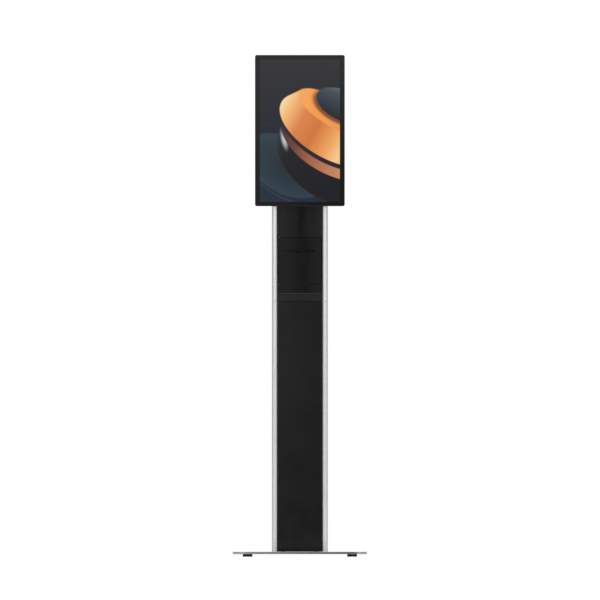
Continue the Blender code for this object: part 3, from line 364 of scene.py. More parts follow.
def picture(s):
    upright = s.axis("Z", s.place((GLASS.cx, 0, GLASS.cz), (1, 1, 0.477)))
    ground = [(0, 28, 43, 58), (0.35, 20, 32, 48), (0.7, 28, 31, 39), (1, 36, 35, 41)]
    colour = s.ramp(s.spread(upright, -0.5, 0.5, 0, 1), ground)

    pool, _, from_middle = disc(s, (-46, -118), 150, 92, 3.0)
    colour = s.mix(pool, colour, s.ramp(from_middle, [(0, 30, 42, 51), (0.7, 38, 56, 66), (1, 45, 64, 79)]))
    outer = disc(s, (-26, -112), 182, 118, 1.2)[0]
    inner = disc(s, (-26, -110), 180, 116, 2.6)[0]
    rim = s.times(outer, s.math("SUBTRACT", 1.0, inner))
    colour = s.mix(s.times(rim, 0.55), colour, srgb(66, 74, 80))

    body = [(0, 46, 47, 54), (0.16, 23, 24, 29), (1, 26, 26, 34)]
    colour = shaded(s, colour, ((118, -92), 208, 144, 2.2), "X", -1, 0.6, body)
    colour = tinted(s, colour, ((-53, -30), 7, 24, 6.5, math.radians(14)), 0.85, (214, 216, 222))
    under = [(0, 40, 38, 48), (0.3, 112, 66, 60), (0.62, 176, 108, 76), (1, 208, 144, 104)]
    colour = shaded(s, colour, ((104, -44), 186, 98, 1.6), "X", -0.95, 0.45, under)
    colour = tinted(s, colour, ((103, -12), 189, 96, 2.4), 1, (34, 30, 44))

    ring, inside, _ = disc(s, (103, 2), 189, 94, 1.2)
    for rise in (0.25, 0.5, 0.75):
        higher = disc(s, (103 + 15 * rise, 2 + 58 * rise), 189 - 49 * rise, 94 - 46 * rise, 1.2)[0]
        ring = s.math("MAXIMUM", ring, higher)
    side = [(0, 255, 226, 178), (0.1, 251, 196, 128), (0.30, 226, 134, 72), (0.52, 214, 120, 58)]
    side += [(0.74, 246, 166, 94), (0.9, 255, 206, 144), (1, 250, 184, 112)]
    colour = s.mix(ring, colour, s.ramp(s.spread(s.axis("X", inside), -1, 0.5, 0, 1), side))
    lid = [(0, 250, 172, 92), (0.3, 252, 160, 72), (0.7, 244, 156, 80), (1, 253, 196, 130)]
    colour = shaded(s, colour, ((118, 60), 140, 48, 1.6), "X", -1, 0.8, lid)
    colour = tinted(s, colour, ((137, 77), 101, 53, 6.0, LID_TILT), 0.85, (92, 40, 22))
    dome = [(0, 24, 26, 32), (0.35, 42, 52, 62), (0.75, 62, 74, 82), (0.9, 78, 92, 101), (1, 104, 118, 127)]
    return shaded(s, colour, ((143, 84), 94, 50, 1.6, LID_TILT), "Z", -1, 1, dome)


def screen_glass():
    """Cover glass bonded to the panel: a black printed border round the lit picture, and a few finger smears."""
    s = Surface("screen_glass", (0.004, 0.004, 0.0045), 0.06, 0.0, 0.20)
    local = s.place((GLASS.cx, 0, GLASS.cz), (ACTIVE_WIDTH / 2, FLAT, ACTIVE_HEIGHT / 2))
    across, upright = (s.math("ABSOLUTE", s.axis(axis, local)) for axis in "XZ")
    front = s.spread(s.axis("Y", s.place()), GLASS.y0 + 0.0003, GLASS.y0 + 0.0006, 1, 0)
    lit = s.times(s.spread(s.math("MAXIMUM", across, upright), 0.9985, 1.0015, 1, 0), front)
    s.set("Emission Color", s.mix(lit, (0, 0, 0), picture(s)))
    s.set("Emission Strength", 0.92)
    smears = s.spread(s.noise((0.03, 0.03, 0.05), 6.0, 0.66), 0.42, 0.7, 0.045, 0.11)
    s.look(s.mix(lit, (0.006, 0.006, 0.0064), (0.004, 0.004, 0.0045)), smears, s.noise(0.05, 1.0), 0.00002, 0.05)


FINISHES = [anodised_aluminium, base_metal, steel, black_paint, gloss_black, matt_black, label_print, rubber]
FINISHES += [amber_lens, paper, circuit_board, nylon, brass, lcd_panel, screen_glass]
for finish in FINISHES:
    finish()


# Outlines: lists of points in a plane.


def arc(centre, radius, start, end, steps):
    angles = [start + (end - start) * i / steps for i in range(steps + 1)]
    return [(centre[0] + radius * math.cos(a), centre[1] + radius * math.sin(a)) for a in angles]


def circle(radius, centre=(0, 0), sides=48):
    return arc(centre, radius, 0, math.tau * (1 - 1 / sides), sides - 1)


def rounded(width, height, radius, centre=(0, 0), steps=10):
    """A rectangle with round corners."""
    across, up = width / 2 - radius, height / 2 - radius
    points = []
    for turn, (side_x, side_y) in enumerate(((1, 1), (-1, 1), (-1, -1), (1, -1))):
        corner = (centre[0] + side_x * across, centre[1] + side_y * up)
        points += arc(corner, radius, turn * math.pi / 2, (turn + 1) * math.pi / 2, steps)
    return points


def stadium(width, length, steps=28):
    """A bar of this width with full-round ends, its length along the second axis."""
    radius = width / 2
    reach = length / 2 - radius
    return arc((0, -reach), radius, -math.pi, 0, steps) + arc((0, reach), radius, 0, math.pi, steps)


def folded(outer_y, inner_y, bend=0.0026, steps=6):
    """A sheet folded to a C, seen from above, with round bends; its web is at outer_y, between the rails."""
    way = math.copysign(1, outer_y)
    deep = abs(outer_y - inner_y)
    inside, inner_bend = CLOSED_X - SHEET, bend - SHEET
    left, right = (bend - CLOSED_X, -bend), (CLOSED_X - bend, -bend)
    up, down = (math.pi, math.pi / 2), (math.pi / 2, 0)
    loop = [*arc(left, bend, *up, steps), *arc(right, bend, *down, steps), (CLOSED_X, -deep), (inside, -deep)]
    loop += [*arc(right, inner_bend, *down[::-1], steps), *arc(left, inner_bend, *up[::-1], steps)]
    loop += [(-inside, -deep), (-CLOSED_X, -deep)]
    return [(x, outer_y + way * y) for x, y in loop]


# Meshes.


def linked(name, data):
    """A new object in the scene."""
    obj = bpy.data.objects.new(name, data)
    bpy.context.scene.collection.objects.link(obj)
    return obj


def meshed(shape):
    mesh = bpy.data.meshes.new("mesh")
    shape.to_mesh(mesh)
    shape.free()
    return mesh


def evaluated(*objects):
    """The first object's mesh as its modifiers leave it. The objects are used up."""
    graph = bpy.context.evaluated_depsgraph_get()
    mesh = bpy.data.meshes.new_from_object(objects[0].evaluated_get(graph))
    for used in objects:
        bpy.data.objects.remove(used)
    mesh.materials.clear()
    return mesh


def finished(mesh):
    """Joins doubled points, faces everything outwards and smooths all but the sharp edges."""
    shape = bmesh.new()
    shape.from_mesh(mesh)
    bmesh.ops.remove_doubles(shape, verts=shape.verts, dist=2e-6)
    bmesh.ops.recalc_face_normals(shape, faces=shape.faces)
    shape.to_mesh(mesh)
    shape.free()
    mesh.shade_smooth()
    mesh.set_sharp_from_angle(angle=SHARP)
    return mesh


def prism(outlines, thickness, centre, facing, edge=0.0, steps=2):
    """A flat shape of even thickness with rounded edges: the first outline is its rim, the others its holes."""
    curve = bpy.data.curves.new("outline", "CURVE")
    curve.dimensions = "2D"
    curve.fill_mode = "BOTH"
    curve.extrude = thickness / 2 - edge
    curve.bevel_depth = edge
    curve.bevel_resolution = steps
    curve.offset = -edge
    for outline in outlines:
        spline = curve.splines.new("POLY")
        spline.points.add(len(outline) - 1)
        spline.use_cyclic_u = True
        for point, (across, up) in zip(spline.points, outline):
            point.co = (across, up, 0, 1)
    mesh = evaluated(linked("outline", curve))
    mesh.transform(Matrix.Translation(centre) @ FACING[facing])
    return finished(mesh)


def bar(low, high, edge=0.0, steps=2):
    """A bar between two corners, its edges rounded."""
    shape = bmesh.new()
    bmesh.ops.create_cube(shape, size=1)
    bmesh.ops.scale(shape, vec=[b - a for a, b in zip(low, high)], verts=shape.verts)
    if edge:
        bmesh.ops.bevel(shape, geom=shape.edges[:], offset=edge, segments=steps, profile=0.5, affect="EDGES")
    bmesh.ops.translate(shape, vec=[(a + b) / 2 for a, b in zip(low, high)], verts=shape.verts)
    return finished(meshed(shape))


def block(x, z, across, up, front, back, edge=0.0):
    """A bar along y, reaching across and up this far to either side of a line through x and z."""
    return bar((x - across, front, z - up), (x + across, back, z + up), edge)


def turned(profile, centre, facing, sides=48, hollow=False):
    """A turned shape: (radius, height) points down its outer side, and back up its bore where it's hollow."""
    shape = bmesh.new()
    rings = []
    for radius, height in profile:
        if radius == 0:
            rings.append([shape.verts.new((0, 0, height))] * sides)
        else:
            rings.append([shape.verts.new((x, y, height)) for x, y in circle(radius, sides=sides)])
    if hollow:
        rings.append(rings[0])
    for upper, lower in zip(rings, rings[1:]):
        for i in range(sides):
            j = (i + 1) % sides
            corners = list(dict.fromkeys((upper[i], upper[j], lower[j], lower[i])))
            if len(corners) > 2:
                shape.faces.new(corners)
    mesh = meshed(shape)
    mesh.transform(Matrix.Translation(centre) @ FACING[facing])
    return finished(mesh)


def ringed(rings):
    """A skin over rings of points that follow one another, closed over the first and the last."""
    shape = bmesh.new()
    loops = [[shape.verts.new(point) for point in ring] for ring in rings]
    for first, second in zip(loops, loops[1:]):
        for i in range(len(first)):
            j = (i + 1) % len(first)
            shape.faces.new((first[i], first[j], second[j], second[i]))
    shape.faces.new(loops[0])
    shape.faces.new(loops[-1])
    return finished(meshed(shape))


def shoulder(radius, height, edge, steps, way=1):
    """A turned shape's rounded rim, at its upper end (1) or its lower one (-1)."""
    start, end = (math.pi / 2, 0) if way > 0 else (0, -math.pi / 2)
    return arc((radius - edge, height - way * edge), edge, start, end, steps)


def together(*meshes):
    """Several meshes as one."""
    shape = bmesh.new()
    for mesh in meshes:
        shape.from_mesh(mesh)
        bpy.data.meshes.remove(mesh)
    made = meshed(shape)
    made.materials.clear()
    made.set_sharp_from_angle(angle=SHARP)
    return made


def carved(mesh, *cutters, operation="DIFFERENCE"):
    """The mesh with the cutters taken out of it, or with another boolean operation."""
    obj = linked("carved", mesh)
    tools = [linked("tool", cutter) for cutter in cutters]
    for tool in tools:
        boolean = obj.modifiers.new("Boolean", "BOOLEAN")
        boolean.operation = operation
        boolean.object = tool
        boolean.solver = "EXACT"
    return finished(evaluated(obj, *tools))


def bent(mesh, bow):
    """The mesh bent forward like the covers: by the bow in the middle, and not at all at the rails."""
    shape = bmesh.new()
    shape.from_mesh(mesh)
    for i in range(1, 40):
        geometry = shape.verts[:] + shape.edges[:] + shape.faces[:]
        at = (FILL_X * (i / 20 - 1), 0, 0)
        bmesh.ops.bisect_plane(shape, geom=geometry, dist=1e-6, plane_co=at, plane_no=(1, 0, 0))
    for vertex in shape.verts:
        vertex.co.y -= bow * (1 - (vertex.co.x / FILL_X) ** 2)
    shape.to_mesh(mesh)
    shape.free()
    return finished(mesh)


def even_normals(obj):
    """Keeps large flat faces flat where their rounded edges are smooth."""
    obj.modifiers.new("Normals", "WEIGHTED_NORMAL").keep_sharp = True


def piece(name, mesh, slot, *nodes, body=ROOT):
    """One visible piece: it rides on a CAD body and stands for the named CAD nodes."""
    mesh.name = name
    mesh.materials.clear()
    mesh.materials.append(MATERIALS[slot])
    obj = linked(name, mesh)
    even_normals(obj)
    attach(obj, body)
    if nodes:
        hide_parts(*nodes)
    return obj


# The base.


def base_plate():
    b = box_of("base_plate")
    mesh = prism([rounded(b.w, b.d, 0.045, steps=24)], b.h, b.centre, "Z", 0.0009, 3)
    piece("base_plate_slab", mesh, "base_metal", "base_plate")


def feet():
    for place in ("front_left", "front_right", "rear_left", "rear_right"):
        b = box_of(f"foot_{place}")
        radius, stem, edge = b.w / 2, 0.004, 0.0012
        pad = box_of("base_plate").z0 - 0.00002
        profile = [(0, b.z1), (stem, b.z1), (stem, pad), *shoulder(radius, pad, edge, 3)]
        profile += [(radius, 0.0046), (radius - 0.0005, 0.0042), (radius - 0.0005, 0.0036), (radius, 0.0032)]
        profile += shoulder(radius, 0, edge, 3, -1)
        profile += [(0.010, 0), (0.0092, 0.0006), (0, 0.0006)]
        piece(f"foot_pad_{place}", turned(profile, (b.cx, b.cy, 0), "Z"), "rubber", f"foot_{place}")


def column_bolts():
    for number in range(1, 5):
        b = box_of(f"column_bolt_{number}")
        head, shank, seat, edge = b.w / 2, 0.004, b.z1 - 0.008, 0.0006
        profile = [(0, b.z1), (head - edge, b.z1), (head, b.z1 - edge), (head, seat)]
        profile += [(shank, seat), (shank, b.z0), (0, b.z0)]
        socket = prism([circle(0.0032, sides=6)], 0.008, (b.cx, b.cy, b.z1), "Z")
        mesh = carved(turned(profile, (b.cx, b.cy, 0), "Z", 40), socket)
        piece(f"socket_bolt_{number}", mesh, "steel", f"column_bolt_{number}")


# The column.

RAIL_WALL = 0.0022
SEAM_CLOSED = 0.0002  # how far two covers each reach into the seam between them
RAIL_CLOSED = 0.00006  # the same for two rails
SEAM_SHADE_INSET = 0.0006
CLOSED_X = box_of("lower_rail_right").x0 - 0.00002
SHEET = 0.0015
MOULDING = 0.002
PANEL = box_of("lower_front_panel")
COVER_Y = -PANEL.y0
FILL_X = PANEL.x1
HINGE_X = -0.069
HINGE_Y = 0.0515
BARREL_RADIUS = 0.0038
BORE_RADIUS = 0.0023


def rails():
    for part, way in (("lower_rail", 1), ("upper_rail", -1)):
        for side in ("left", "right"):
            b = box_of(f"{part}_{side}")
            inside = stadium(b.w - 2 * RAIL_WALL, b.d - 2 * RAIL_WALL)
            centre = (b.cx, b.cy, b.cz + way * RAIL_CLOSED / 2)
            mesh = prism([stadium(b.w, b.d), inside], b.h + RAIL_CLOSED, centre, "Z", 0.00015, 1)
            piece(f"{part}_extrusion_{side}", mesh, "anodised_aluminium", f"{part}_{side}")


def seam_shade_shims():
    """A thin black shim in the seam between each pair of rails, set back from their faces. It closes the see-through
    gap, and its black is painted shade that stands in for the seam's shadow line.
    """
    low, high = box_of("lower_rail_right").z1, box_of("upper_rail_right").z0
    for side in ("left", "right"):
        b = box_of(f"lower_rail_{side}")
        outer = stadium(b.w - 2 * SEAM_SHADE_INSET, b.d - 2 * SEAM_SHADE_INSET)
        inner = stadium(b.w - 2 * RAIL_WALL, b.d - 2 * RAIL_WALL)
        mesh = prism([outer, inner], high - low - 2 * RAIL_CLOSED - 0.00004, (b.cx, b.cy, (low + high) / 2), "Z")
        # Painted shade: this black shim stands in for the dark shadow line of the seam between the rails.
        piece(f"rail_seam_shade_{side}", mesh, "matt_black")


def front_panel():
    b = PANEL
    mesh = prism([folded(b.y0, b.y1)], b.h + SEAM_CLOSED, (0, 0, b.cz + SEAM_CLOSED / 2), "Z", 0.0002, 1)
    piece("stand_front_sheet", mesh, "black_paint", "lower_front_panel")


def bowed_plate(outlines, wall, b, edge, proud=0.0):
    """A moulded plate that follows the bow of the front covers."""
    front = -COVER_Y - proud
    return bent(prism(outlines, wall, (b.cx, front + wall / 2, b.cz), "Y", edge), -COVER_Y - b.y0)


def bore(y, low, high):
    """A cutter for a hole about the doors' upright axis, which is at this y."""
    return prism([circle(BORE_RADIUS, sides=20)], (high - low) * 1.2, (HINGE_X, y, (low + high) / 2), "Z")


def hinges(b, y, reach, knuckle):
    """A hollow barrel near either end of a door, and the knuckles that carry them, between two ys."""
    barrels, knuckles = [], []
    for low, high in ((b.z0 + 0.001, b.z0 + reach), (b.z1 - reach, b.z1 - 0.001)):
        rims = [*shoulder(BARREL_RADIUS, high, 0.0004, 2), *shoulder(BARREL_RADIUS, low, 0.0004, 2, -1)]
        profile = [(0, high), *rims, (0, low)]
        barrels.append(carved(turned(profile, (HINGE_X, y, 0), "Z", 28), bore(y, low, high)))
        knuckles.append(bar((HINGE_X - 0.003, knuckle[0], low), (HINGE_X + 0.003, knuckle[1], high)))
    return barrels + knuckles


def flange_pair(b, low):
    """The two side flanges of a moulded cover, up against the rails."""
    made = []
    for side in (-1, 1):
        inner, outer = sorted((side * CLOSED_X, side * (CLOSED_X - MOULDING)))
        made.append(bar((inner, -COVER_Y + 0.0009, low), (outer, b.y1, b.z1), 0.0002, 1))
    return made


def rod_lug(b, low, high):
    """A lug on a moulded cover, bored for the printer door's rod."""
    lug = bar((-b.x1 + 0.001, -COVER_Y + 0.001, low), (-0.063, -0.046, high), 0.0003, 1)
    return carved(lug, bore(-HINGE_Y, low - 0.003, high + 0.003))


LABEL_WIDTH = 0.1464
LABEL_HEIGHT = 0.0215
LABEL_Z = 0.8684


def status_strip():
    b = box_of("status_trim")
    lens = box_of("status_lens")
    bow = -COVER_Y - b.y0
    gap, lip = 0.0003, -COVER_Y + SHEET + 0.0002
    slot = rounded(lens.w + 2 * gap, lens.h + 2 * gap, 0.0004, (0, lens.cz - b.cz), 2)
    rim = rounded(2 * CLOSED_X, b.h + SEAM_CLOSED, 0.0004, (0, -SEAM_CLOSED / 2), 3)
    label = rounded(LABEL_WIDTH + 2 * gap, LABEL_HEIGHT + 2 * gap, 0.0006, (0, LABEL_Z - b.cz), 3)
    face = bowed_plate([rim, slot, label], MOULDING, b, 0.00025)
    flanges = flange_pair(b, b.z0 - SEAM_CLOSED)
    flanges.append(bar((0.002 - FILL_X, lip, b.z0 - 0.003), (FILL_X - 0.002, lip + 0.0013, b.z0 + 0.002), 0.0002, 1))
    cover = together(face, *flanges, rod_lug(b, 0.903, 0.909))
    piece("status_strip_cover", cover, "gloss_black", "status_trim")
    outline = rounded(lens.w, lens.h, 0.0004, steps=2)
    light = bent(prism([outline], 0.0032, (0, -COVER_Y + 0.0019, lens.cz), "Y", 0.0002, 1), bow)
    piece("status_light_bar", light, "amber_lens", "status_lens")
    outline = rounded(LABEL_WIDTH, LABEL_HEIGHT, 0.0005, steps=3)
    blank = bent(prism([outline], 0.0014, (0, -COVER_Y + 0.0008, LABEL_Z), "Y", 0.0001, 1), bow)
    field = piece("status_blank_label", blank, "black_paint")
    field.data.materials[0] = MATERIALS["label_print"]


SLOT_Z = 1.024
SLOT_WIDTH = 0.096
SLOT_HEIGHT = 0.0055


def paper_guide(way):
    """One lip of the funnel behind the paper slot, above (1) or below (-1) the paper."""
    mouth, back, half = -COVER_Y - 0.0002, -COVER_Y + 0.0085, SLOT_HEIGHT / 2
    rises = [(mouth, half), (back, 0.0004), (back, 0.0017), (mouth, half + 0.0012)]
    return prism([[(y, SLOT_Z + way * rise) for y, rise in rises]], SLOT_WIDTH, (0, 0, 0), "X")


def printer_door():
    b = box_of("printer_door")
    wall, left, rise = 0.0025, -0.062, SLOT_Z - b.cz
    slot = rounded(SLOT_WIDTH, SLOT_HEIGHT, 0.002, (0, rise), 5)
    outline = rounded(SLOT_WIDTH + 0.007, 0.0142, 0.003, (0, rise - 0.0024), 6)
    parts = [
        bowed_plate([rounded(b.w, b.h, 0.001, steps=3), slot], wall, b, 0.0004),
        bowed_plate([outline, slot], 0.0016, b, 0.0004, 0.0006),
        bar((b.x1 - wall, -COVER_Y + 0.001, b.z0), (b.x1, b.y1, b.z1), 0.0002, 1),
        bar((left, -COVER_Y - 0.0002, b.z0), (left + wall, b.y1, b.z1), 0.0002, 1),
        paper_guide(1),
        paper_guide(-1),
        *hinges(b, -HINGE_Y, 0.019, (-COVER_Y + 0.001, -HINGE_Y - 0.0026)),
    ]
    piece("printer_flap", together(*parts), "gloss_black", "printer_door", body="printer_door")


def fascia():
    b = box_of("upper_fascia")
    face = bowed_plate([rounded(2 * CLOSED_X, b.h, 0.0008, steps=3)], MOULDING, b, 0.0004)
    cover = together(face, *flange_pair(b, b.z0), rod_lug(b, 1.072, 1.078))
    piece("fascia_cover", cover, "gloss_black", "upper_fascia")


def cap():
    b = box_of("column_cap")
    mesh = prism([rounded(b.w, b.d, b.w / 20, steps=12)], b.h, b.centre, "Z", 0.0009, 3)
    piece("column_top_cap", mesh, "black_paint", "column_cap")


# The back of the column.


def screw_head(centre, facing, way, radius=0.0035, height=0.0018):
    """A low round head with a six-sided recess; way says which end of its axis it faces."""
    edge = 0.0012
    rise = way * height
    dome = [(r, rise - way * (edge - h)) for r, h in arc((radius - edge, 0), edge, math.pi / 2, 0, 3)]
    profile = [(0, rise), *dome, (radius, 0), (0, 0)]
    recess = prism([circle(radius * 0.45, sides=6)], height, (0, 0, rise), "Z")
    mesh = carved(turned(profile, (0, 0, 0), "Z", 32), recess)
    mesh.transform(Matrix.Translation(centre) @ FACING[facing])
    return mesh


def service_door():
    b = box_of("service_door")
    lock = box_of("lock_barrel")
    hole = circle(0.0083, (lock.cx, lock.cz - b.cz), 40)
    outline = rounded(0.145, b.h, 0.0015, steps=4)
    sheet = prism([outline, hole], SHEET, (0, COVER_Y - SHEET / 2, b.cz), "Y", 0.0003, 1)
    carriers = hinges(b, HINGE_Y, 0.025, (HINGE_Y + 0.0026, COVER_Y - 0.0008))
    piece("rear_door_sheet", together(sheet, *carriers), "black_paint", "service_door", body="service_door")


def rear_skirt():
    b = box_of("rear_skirt")
    inlet = box_of("power_inlet")
    mesh = prism([folded(COVER_Y, b.y0)], b.h, (0, 0, b.cz), "Z", 0.0003, 1)
    opening = block(inlet.cx, inlet.cz, 0.0233, 0.0133, COVER_Y - 0.005, COVER_Y + 0.005)
    ledge = bar((-FILL_X + 0.0008, b.y0 + 0.0008, b.z1 - 0.003), (FILL_X - 0.0008, COVER_Y - 0.0008, b.z1 - 0.0003))
    pin = prism([circle(BORE_RADIUS, sides=20)], 0.012, (HINGE_X, HINGE_Y, b.z1), "Z")
    mesh = together(carved(mesh, opening), carved(ledge, pin))
    piece("rear_skirt_sheet", mesh, "black_paint", "rear_skirt")


def back_cover():
    b = box_of("upper_back_cover")
    mesh = prism([folded(COVER_Y, b.y0)], b.h, (0, 0, b.cz), "Z", 0.0003, 1)
    outline = rounded(0.080, 0.004, 0.0019, steps=5)
    slots = [prism([outline], 0.010, (0, COVER_Y, b.z1 - 0.040 - number * 0.014), "Y") for number in range(6)]
    piece("upper_back_sheet", carved(mesh, together(*slots)), "black_paint", "upper_back_cover")
    places = [(x, z) for z in (b.z0 + 0.030, b.cz, b.z1 - 0.030) for x in (-0.064, 0.064)]
    places += [(x, box_of("rear_skirt").cz) for x in (-0.064, -0.010)]
    heads = [screw_head((x, COVER_Y - 0.0001, z), "Y", -1) for x, z in places]
    piece("rear_cover_screws", together(*heads), "steel")


def rear_joint():
    """A flat black strip over the stand's brace, between the service door and the cover above it."""
    low, high = box_of("service_door").z1 + 0.0008, box_of("upper_back_cover").z0 - 0.0003
    inner = box_of("stand_brace").y1 + 0.00002
    strip = bar((-CLOSED_X, inner, low), (CLOSED_X, COVER_Y, high), 0.0002, 1)
    piece("rear_joint_strip", strip, "black_paint")


def power_inlet():
    b = box_of("power_inlet")
    front, socket_x, rocker_x = b.y1, b.cx + 0.009, b.cx - 0.014
    half = [(0.0115, -0.008), (0.0115, 0.0035), (0.0075, 0.008)]
    shape = [(-0.0115, -0.008), *half, *[(-x, z) for x, z in reversed(half[1:])]]
    body = block(b.cx, b.cz, 0.023, 0.013, b.y0, front - 0.0003, 0.0006)
    flange = prism([rounded(0.058, 0.034, 0.003)], 0.0022, (b.cx, front - 0.0011, b.cz), "Y", 0.0005)
    socket = prism([shape], 0.030, (socket_x, front, b.cz), "Y")
    well = block(rocker_x, b.cz, 0.0063, 0.0098, front - 0.014, front + 0.01)
    mesh = carved(carved(body, flange, operation="UNION"), socket, well)
    piece("mains_inlet", mesh, "matt_black", "power_inlet")
    pins = ((-0.007, 0), (0.007, 0), (0, 0.003))
    parts = [block(socket_x + x, b.cz + z, 0.001, 0.002, front - 0.016, COVER_Y, 0.0004) for x, z in pins]
    parts += [screw_head((b.cx + x, front - 0.0002, b.cz), "Y", -1, 0.0022, 0.0009) for x in (-0.026, 0.026)]
    piece("inlet_pins_and_screws", together(*parts), "steel")


ROCKER_TILT = math.radians(7)


def rocker():
    inlet = box_of("power_inlet")
    centre = Vector((inlet.cx - 0.014, COVER_Y - 0.0035, inlet.cz))
    face = [(0.005 - 0.0008 * (1 - (z / 8.3) ** 2), z * MILLIMETRE) for z in [8.3 * (i / 8 - 1) for i in range(17)]]
    mesh = prism([[(-0.005, -0.004), *face, (-0.005, 0.004)]], 0.0116, (0, 0, 0), "X", 0.0004)
    mesh.transform(Matrix.Translation(centre) @ Matrix.Rotation(ROCKER_TILT, 4, "X"))
    piece("mains_rocker", finished(mesh), "matt_black", "rocker_switch", body="rocker")


def lock():
    b = box_of("lock_barrel")
    face, back, collar_back = -b.y1, -b.y0, -(COVER_Y + 0.0003)
    profile = [(0, back), (0.0078, back), (0.008, back - 0.0002), (0.008, collar_back), (0.010, collar_back)]
    profile += shoulder(0.010, face, 0.0008, 3, -1)
    profile += [(0.0062, face), (0.0058, face + 0.0004), (0.0054, face), (0, face)]
    slot = block(b.cx, b.cz, 0.0008, 0.004, b.y1 - 0.003, b.y1 + 0.003)
    mesh = carved(turned(profile, (b.cx, 0, b.cz), "Y", 56), slot)
    piece("lock_cylinder", mesh, "steel", "lock_barrel", body="door_lock")


def power_supply():
    b = box_of("power_supply")
    face = 0.0012
    body = bar((b.x0, b.y0, b.z0), (b.x1, b.y1 - face, b.z1), 0.0008)
    pitch = 0.0085
    outlines = [rounded(b.w - 0.001, b.h - 0.001, 0.001, steps=3)]
    for row in range(12):
        for column in range(9):
            x = (column - 4 + (row % 2) * 0.5 - 0.25) * pitch
            outlines.append(circle(0.0026, (x, (row - 5.5) * pitch + 0.006), 14))
    grille = prism(outlines, face, (b.cx, b.y1 - face / 2, b.cz), "Y", 0.0002, 1)
    piece("supply_case", together(body, grille), "steel", "power_supply")
    blocks, heads = [], []
    for number in range(5):
        x = -0.028 + number * 0.014
        low, high = (x - 0.0062, b.y0 + 0.006, b.z1 - 0.0004), (x + 0.0062, b.y0 + 0.022, b.z1 + 0.011)
        blocks.append(bar(low, high, 0.0006))
        heads.append(screw_head((x, b.y0 + 0.014, b.z1 + 0.0105), "Z", 1, 0.0036, 0.0015))
    piece("supply_terminals", together(*blocks), "matt_black")
    piece("terminal_screws", together(*heads), "brass")


def cable_duct():
    """Slotted trunking: its two sides are combs of fingers."""
    b = box_of("cable_duct")
    pitch, gap, root = 0.0127, 0.0042, 0.006
    foot, top = b.z0 - b.cz, b.z1 - b.cz
    count = int(b.h / pitch)
    outline = [(b.x1 - SHEET / 2, foot), (b.x1 - SHEET / 2, top)]
    for number in reversed(range(count)):
        low = foot + number * pitch
        outline += [(b.x0, low + pitch - gap if number < count - 1 else top), (b.x0, low)]
        if number:
            outline += [(b.x1 - root, low), (b.x1 - root, low - gap)]
    sides = [prism([outline], SHEET, (0, y, b.cz), "Y") for y in (b.y0 + SHEET / 2, b.y1 - SHEET / 2)]
    web = bar((b.x1 - SHEET, b.y0, b.z0), (b.x1, b.y1, b.z1), 0.0002, 1)
    piece("slotted_duct", together(web, *sides), "matt_black", "cable_duct")


# The printer.


def paper_and_spindle():
    b = box_of("paper_roll")
    spindle = box_of("roll_spindle")
    outer, half, core, edge = b.d / 2, b.w / 2, 0.0096, 0.0004
    centre = (0, b.cy, b.cz)
    profile = [(core, half - 0.0006), (core + 0.004, half)]
    profile += shoulder(outer, half, edge, 2) + shoulder(outer, -half, edge, 2, -1)
    profile += [(core + 0.004, -half), (core, 0.0006 - half)]
    piece("receipt_paper_roll", turned(profile, centre, "X", 96, hollow=True), "paper", "paper_roll", body="roll")
    inner, skin, end = 0.0063, core - 0.0001, half - 0.0004
    tube = [(inner, end), (skin, end), (skin, -end), (inner, -end)]
    piece("roll_core", turned(tube, centre, "X", hollow=True), "nylon", body="roll")
    radius, reach, groove = spindle.d / 2, spindle.w / 2, 0.0008
    profile = [(0, reach), (radius - 0.0012, reach), (radius, reach - 0.0012), (radius, 0.0445)]
    profile += [(radius - groove, 0.0441), (radius - groove, 0.0430), (radius, 0.0426)]
    profile += [(r, -h) for r, h in reversed(profile)]
    piece("spindle_bar", turned(profile, centre, "X", 40), "nylon", "roll_spindle", body="roll")


def platen():
    b = box_of("platen_roller")
    roller, shaft, half, edge, bevel = b.d / 2, 0.0025, 0.042, 0.0006, 0.0004
    profile = [(0, 0.051), (shaft - bevel, 0.051), (shaft, 0.0506), (shaft, half)]
    profile += shoulder(roller, half, edge, 2) + shoulder(roller, -half, edge, 2, -1)
    profile += [(shaft, -half), (shaft, -0.0551), (shaft - bevel, -0.0555), (0, -0.0555)]
    piece("platen_tube", turned(profile, (0, b.cy, b.cz), "X", 40), "rubber", "platen_roller", body="platen")


def feed_motor():
    b = box_of("feed_motor")
    radius, half = b.d / 2, b.w / 2
    profile = [(0, half), (0.0035, half), (0.0042, half - 0.0006)]
    profile += shoulder(radius, half, 0.0014, 4)
    profile += [(radius, 0.002), (radius - 0.0003, 0.0016), (radius - 0.0003, 0.0009), (radius, 0.0005)]
    profile += [(radius, -half), (0, -half)]
    piece("motor_can", turned(profile, b.centre, "X"), "steel", "feed_motor")


def thermal_head():
    """An aluminium head whose back is cut into fins."""
    b = box_of("thermal_head")
    outline = [(b.y0, b.z0), (b.y1, b.z0)]
    fins, foot = 6, b.z0 + 0.007
    pitch = (b.d + 0.0018) / fins
    for number in reversed(range(fins)):
        left = b.y0 + number * pitch
        outline += [(left + pitch - 0.0018, b.z1), (left, b.z1)]
        if number:
            outline += [(left, foot), (left - 0.0018, foot)]
    piece("print_head", prism([outline], b.w, (b.cx, 0, 0), "X", 0.0002, 1), "anodised_aluminium", "thermal_head")


def cutter_blade():
    """A blade whose lower edge is a shallow V of fine teeth."""
    b = box_of("cutter_blade")
    teeth = 56
    sections = []
    for number in range(2 * teeth + 1):
        x = b.x0 + b.w * number / (2 * teeth)
        low = b.z0 + 0.003 * (1 - abs(x) / b.x1) + (0.0007 if number % 2 else 0.0)
        sections.append([(x, b.y0, low), (x, b.y1, low), (x, b.y1, b.z1), (x, b.y0, b.z1)])
    piece("serrated_blade", ringed(sections), "steel", "cutter_blade", body="cutter")


